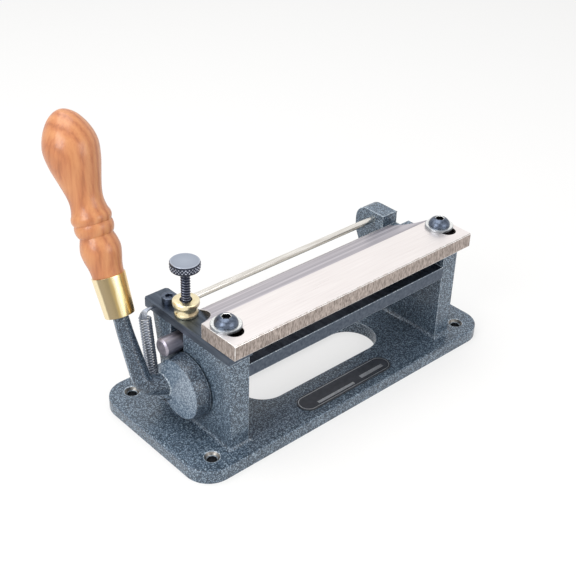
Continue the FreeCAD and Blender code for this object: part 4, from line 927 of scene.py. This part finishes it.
# dark roots are painted shade; the bright crests are wear and painted highlight
knurl_steel = crest_wear_and_root_shade("black_oxide_knurl", (*stud_centre, 0.0), [
    (0.0, "#A4ABB7"), (rim - 0.9 * MM, "#989FAC"), (rim - 0.35 * MM, "#B9BFCA"),
    (rim - 0.05 * MM, "#8A90A0"), (rim, "#161924"), (rim + KNURL_TALL * 0.25, "#2A2F3F"),
    (rim + KNURL_TALL * 0.6, "#969BA8"), (rim + KNURL_TALL, "#DDDFE5")], 0.4)
head = grow(tree, head, knurl_steel, knurl_sizes)
new_piece("stop_screw_head_knurled", head, [knurl_steel], "stop_screw_head", "black_oxide",
          "stop_screw_head")
print("knurl", knurl_sizes["Count"], "pyramids,", len(head.polygons), "faces")

# %% [markdown]
# ## Turned handle
#
# A turner cuts this handle from a square blank: a swelling above the ferrule, a groove, two beads, a slim
# neck and a round belly that fills the palm. The outline is a short list of places where the gouge changes
# direction, and a smooth curve runs through them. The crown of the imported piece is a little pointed, and
# this one is full.

# %% Turned handle
# stations of radius and height in millimetres, along the handle's own axis
TANG = 3.5
INSIDE = [(0, 70), (TANG, 70), (TANG, 3), (8.75, 3), (9.8, 26)]
SWELLING = [(10.2, 26), (10.45, 29), (10.9, 32), (12.0, 36.5), (12.8, 40.5), (12.9, 44), (12.1, 48),
            (11.0, 51.4)]
LOWER_BEAD = [(10.8, 52.2), (11.7, 53.6), (12.4, 55.8), (12.6, 58), (12.3, 59.8)]
UPPER_BEAD = [(11.9, 60.5), (12.4, 61.4), (12.9, 63.2), (12.8, 65), (12.1, 66.9)]
GRIP = [(11.8, 67.5), (11.1, 70.5), (10.75, 74.5), (11.3, 79.5), (12.5, 84.5), (14.0, 90), (15.8, 96.5),
        (16.8, 101.5), (17.4, 106), (17.4, 110), (16.65, 114), (15.25, 118), (13.3, 122), (10.6, 126),
        (8.6, 128.2), (6.3, 130), (4.0, 131.3), (1.8, 132), (0, 132.2)]

outline = [Vector(spot) for spot in INSIDE]
for stretch in (SWELLING, LOWER_BEAD, UPPER_BEAD, GRIP):
    outline += through([Vector(spot) for spot in stretch])
handle_stand = Matrix.Translation(HANDLE_FOOT) @ Matrix.Rotation(-HANDLE_LEAN, 4, "X")
handle = lathe([tuple(spot * MM) for spot in outline], handle_stand, 64)
new_piece("wood_handle_turned", handle, [turned_wood], "lever", "turned_wood", "wood_handle")
print("handle", len(handle.polygons), "faces")

# %% [markdown]
# ## Border and blank fields of the plate
#
# Such a plate has a thin bright line inside its edge and fields for numbers, left free of enamel. The line
# is a flat strip that follows the outline, so one tree makes it from a closed line of points.

# %% Plate border
LINE_WIDTH, LINE_HEIGHT = 0.5 * MM, 0.08 * MM
BORDER_INSET = 1.3 * MM
ARC_STEPS = 16

border_sizes = {"Width": LINE_WIDTH, "Height": LINE_HEIGHT}
tree, given = open_tree("border_line", border_sizes)
followed = add(tree, "GeometryNodeMeshToCurve", {"Mesh": given["Geometry"]})
level = add(tree, "GeometryNodeSetCurveNormal", {"Curve": followed.outputs[0]}, mode="Z_UP")
strip = add(tree, "GeometryNodeCurvePrimitiveQuadrilateral",
            {"Width": given["Width"], "Height": given["Height"]})
line = add(tree, "GeometryNodeCurveToMesh", {"Curve": level.outputs[0], "Profile Curve": strip.outputs[0]})
close_tree(tree, given, line.outputs[0])

low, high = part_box("name_plate")
end_radius = (high.y - low.y) / 2 - BORDER_INSET
reach = (high.x - low.x) / 2 - BORDER_INSET - end_radius
middle_y = (low.y + high.y) / 2
outline = []
for side, first in ((1, -90), (-1, 90)):
    for step in range(ARC_STEPS + 1):
        turn_by = math.radians(first + step * 180 / ARC_STEPS)
        outline.append((side * reach + end_radius * math.cos(turn_by),
                        middle_y + end_radius * math.sin(turn_by), high.z))
loop = bpy.data.meshes.new("border")
loop.from_pydata(outline, [(step, (step + 1) % len(outline)) for step in range(len(outline))], [])
border = grow(tree, loop, plate_metal, border_sizes)
new_piece("plate_border", border, [plate_metal], "frame", "plate_enamel")
print("border", len(border.polygons), "faces")

# %% Blank fields
# length and width, then place along and across the plate, in millimetres
FIELDS = [((22.0, 3.0), (24.0, -2.2)), ((34.0, 2.2), (-12.0, -4.0))]

for place, ((length, width), (along, across)) in enumerate(FIELDS):
    field = bmesh.new()
    bmesh.ops.create_cube(field, size=1.0)
    bmesh.ops.scale(field, verts=field.verts, vec=(length * MM, width * MM, LINE_HEIGHT))
    bmesh.ops.translate(field, verts=field.verts, vec=(along * MM, middle_y + across * MM, high.z))
    field_mesh = bpy.data.meshes.new("field")
    field.to_mesh(field_mesh)
    field.free()
    new_piece(f"plate_field_{place + 1}", field_mesh, [plate_metal], "frame", "plate_enamel")
print(len(FIELDS), "blank fields")

# %% [markdown]
# ## Return spring
#
# The spring is a hook into the lever's lug, twenty-two turns of wire, and a wide loop into the bar. Its
# centre line is worked out point by point, along the helix and along smooth bends to the two hooks, and a
# round section is swept along it. The loop shows several strands of wire side by side, so three more follow
# the first. The spring stretches between two bodies.

# %% Return spring
WIRE = 1.3 * MM
COIL_RADIUS = 3.65 * MM
COIL_TOP = Vector((-112.0, 31.6, 73.0)) * MM
COIL_LOW = Vector((-113.2, 24.0, 31.7)) * MM
COIL_TURNS = 22
COIL_MORE = math.radians(144)
STEPS_A_TURN = 20
LOOP_BEND = 4.4 * MM
HOOK_BEND = 1.6 * MM
BEND_PULL = 1.17
LOOP_STRANDS, STRAND_STEP = 4, math.radians(30)
STRAND_SHIFT = Vector((0.5, -1.5, 0.3)) * MM
BAR_HOLE = Vector((-106.4, 31.6, 79.7)) * MM
LUG_HOLE = Vector((-110.6, 24.0, 26.9)) * MM
UP, RIGHT = Vector((0, 0, 1)), Vector((1, 0, 0))

axis = (COIL_TOP - COIL_LOW).normalized()
side = (RIGHT - axis * axis.x).normalized()
other = axis.cross(side)
climb = (COIL_TOP - COIL_LOW).length / COIL_TURNS / (2 * math.pi)


def on_coil(angle):
    """Point and direction of the wire at an angle from the coil's lower end."""
    out = side * math.cos(angle) + other * math.sin(angle)
    along = other * math.cos(angle) - side * math.sin(angle)
    point = COIL_LOW + out * COIL_RADIUS + axis * (climb * angle)
    return point, (along * COIL_RADIUS + axis * climb).normalized()


def bend(start, lead, end, follow, steps=8):
    """Points of a smooth bend from one point and direction to another, without its last point."""
    pull = (end - start).length * BEND_PULL
    points = []
    for step in range(steps):
        t = step / steps
        points.append(start * (2 * t ** 3 - 3 * t ** 2 + 1) + lead * pull * (t ** 3 - 2 * t ** 2 + t)
                      + end * (3 * t ** 2 - 2 * t ** 3) + follow * pull * (t ** 3 - t ** 2))
    return points


hook_end = Vector((COIL_LOW.x + HOOK_BEND, LUG_HOLE.y, LUG_HOLE.z))
hook_top = Vector((COIL_LOW.x, LUG_HOLE.y, LUG_HOLE.z + HOOK_BEND))
loop_start = Vector((COIL_TOP.x - COIL_RADIUS, BAR_HOLE.y, BAR_HOLE.z - LOOP_BEND))
loop_end = Vector((loop_start.x + LOOP_BEND, BAR_HOLE.y, BAR_HOLE.z))
last_angle = 2 * math.pi * COIL_TURNS + COIL_MORE
first_point, first_way = on_coil(0)
last_point, last_way = on_coil(last_angle)
wire_path = [LUG_HOLE]
wire_path += bend(hook_end, -RIGHT, hook_top, UP)
wire_path += bend(hook_top, UP, first_point, first_way)
steps = round(last_angle / (2 * math.pi) * STEPS_A_TURN)
wire_path += [on_coil(last_angle * step / steps)[0] for step in range(steps)]
wire_path += bend(last_point, last_way, loop_start, UP)
wire_path += bend(loop_start, UP, loop_end, RIGHT)
wire_path += [loop_end, BAR_HOLE]

line = bpy.data.curves.new("spring_line", "CURVE")
line.dimensions = "3D"
line.bevel_depth = WIRE / 2
line.bevel_resolution = 2
line.use_fill_caps = True
paths = [wire_path]
for strand in range(1, LOOP_STRANDS):
    start, way = on_coil(last_angle + strand * STRAND_STEP)
    shift = STRAND_SHIFT * strand
    paths.append(bend(start, (way + UP).normalized(), loop_start + shift, UP)
                 + bend(loop_start + shift, UP, loop_end + shift * 0.5, RIGHT) + [BAR_HOLE + shift * 0.25])
for path in paths:
    spline = line.splines.new("POLY")
    spline.points.add(len(path) - 1)
    for point, spot in zip(spline.points, path):
        point.co = (*spot, 1)
holder = bpy.data.objects.new("winding", line)
bpy.context.scene.collection.objects.link(holder)
spring = bpy.data.meshes.new_from_object(holder.evaluated_get(bpy.context.evaluated_depsgraph_get()))
bpy.data.objects.remove(holder)
for face in spring.polygons:
    face.use_smooth = True
wound_spring = new_piece("return_spring_wound", spring, [metals["music_wire"]], None, "spring_wire",
                         "return_spring")
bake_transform(wound_spring)
length = sum((one - two).length for one, two in zip(wire_path, wire_path[1:]))
print("spring wire", round(length / MM), "mm,", len(spring.polygons), "faces")
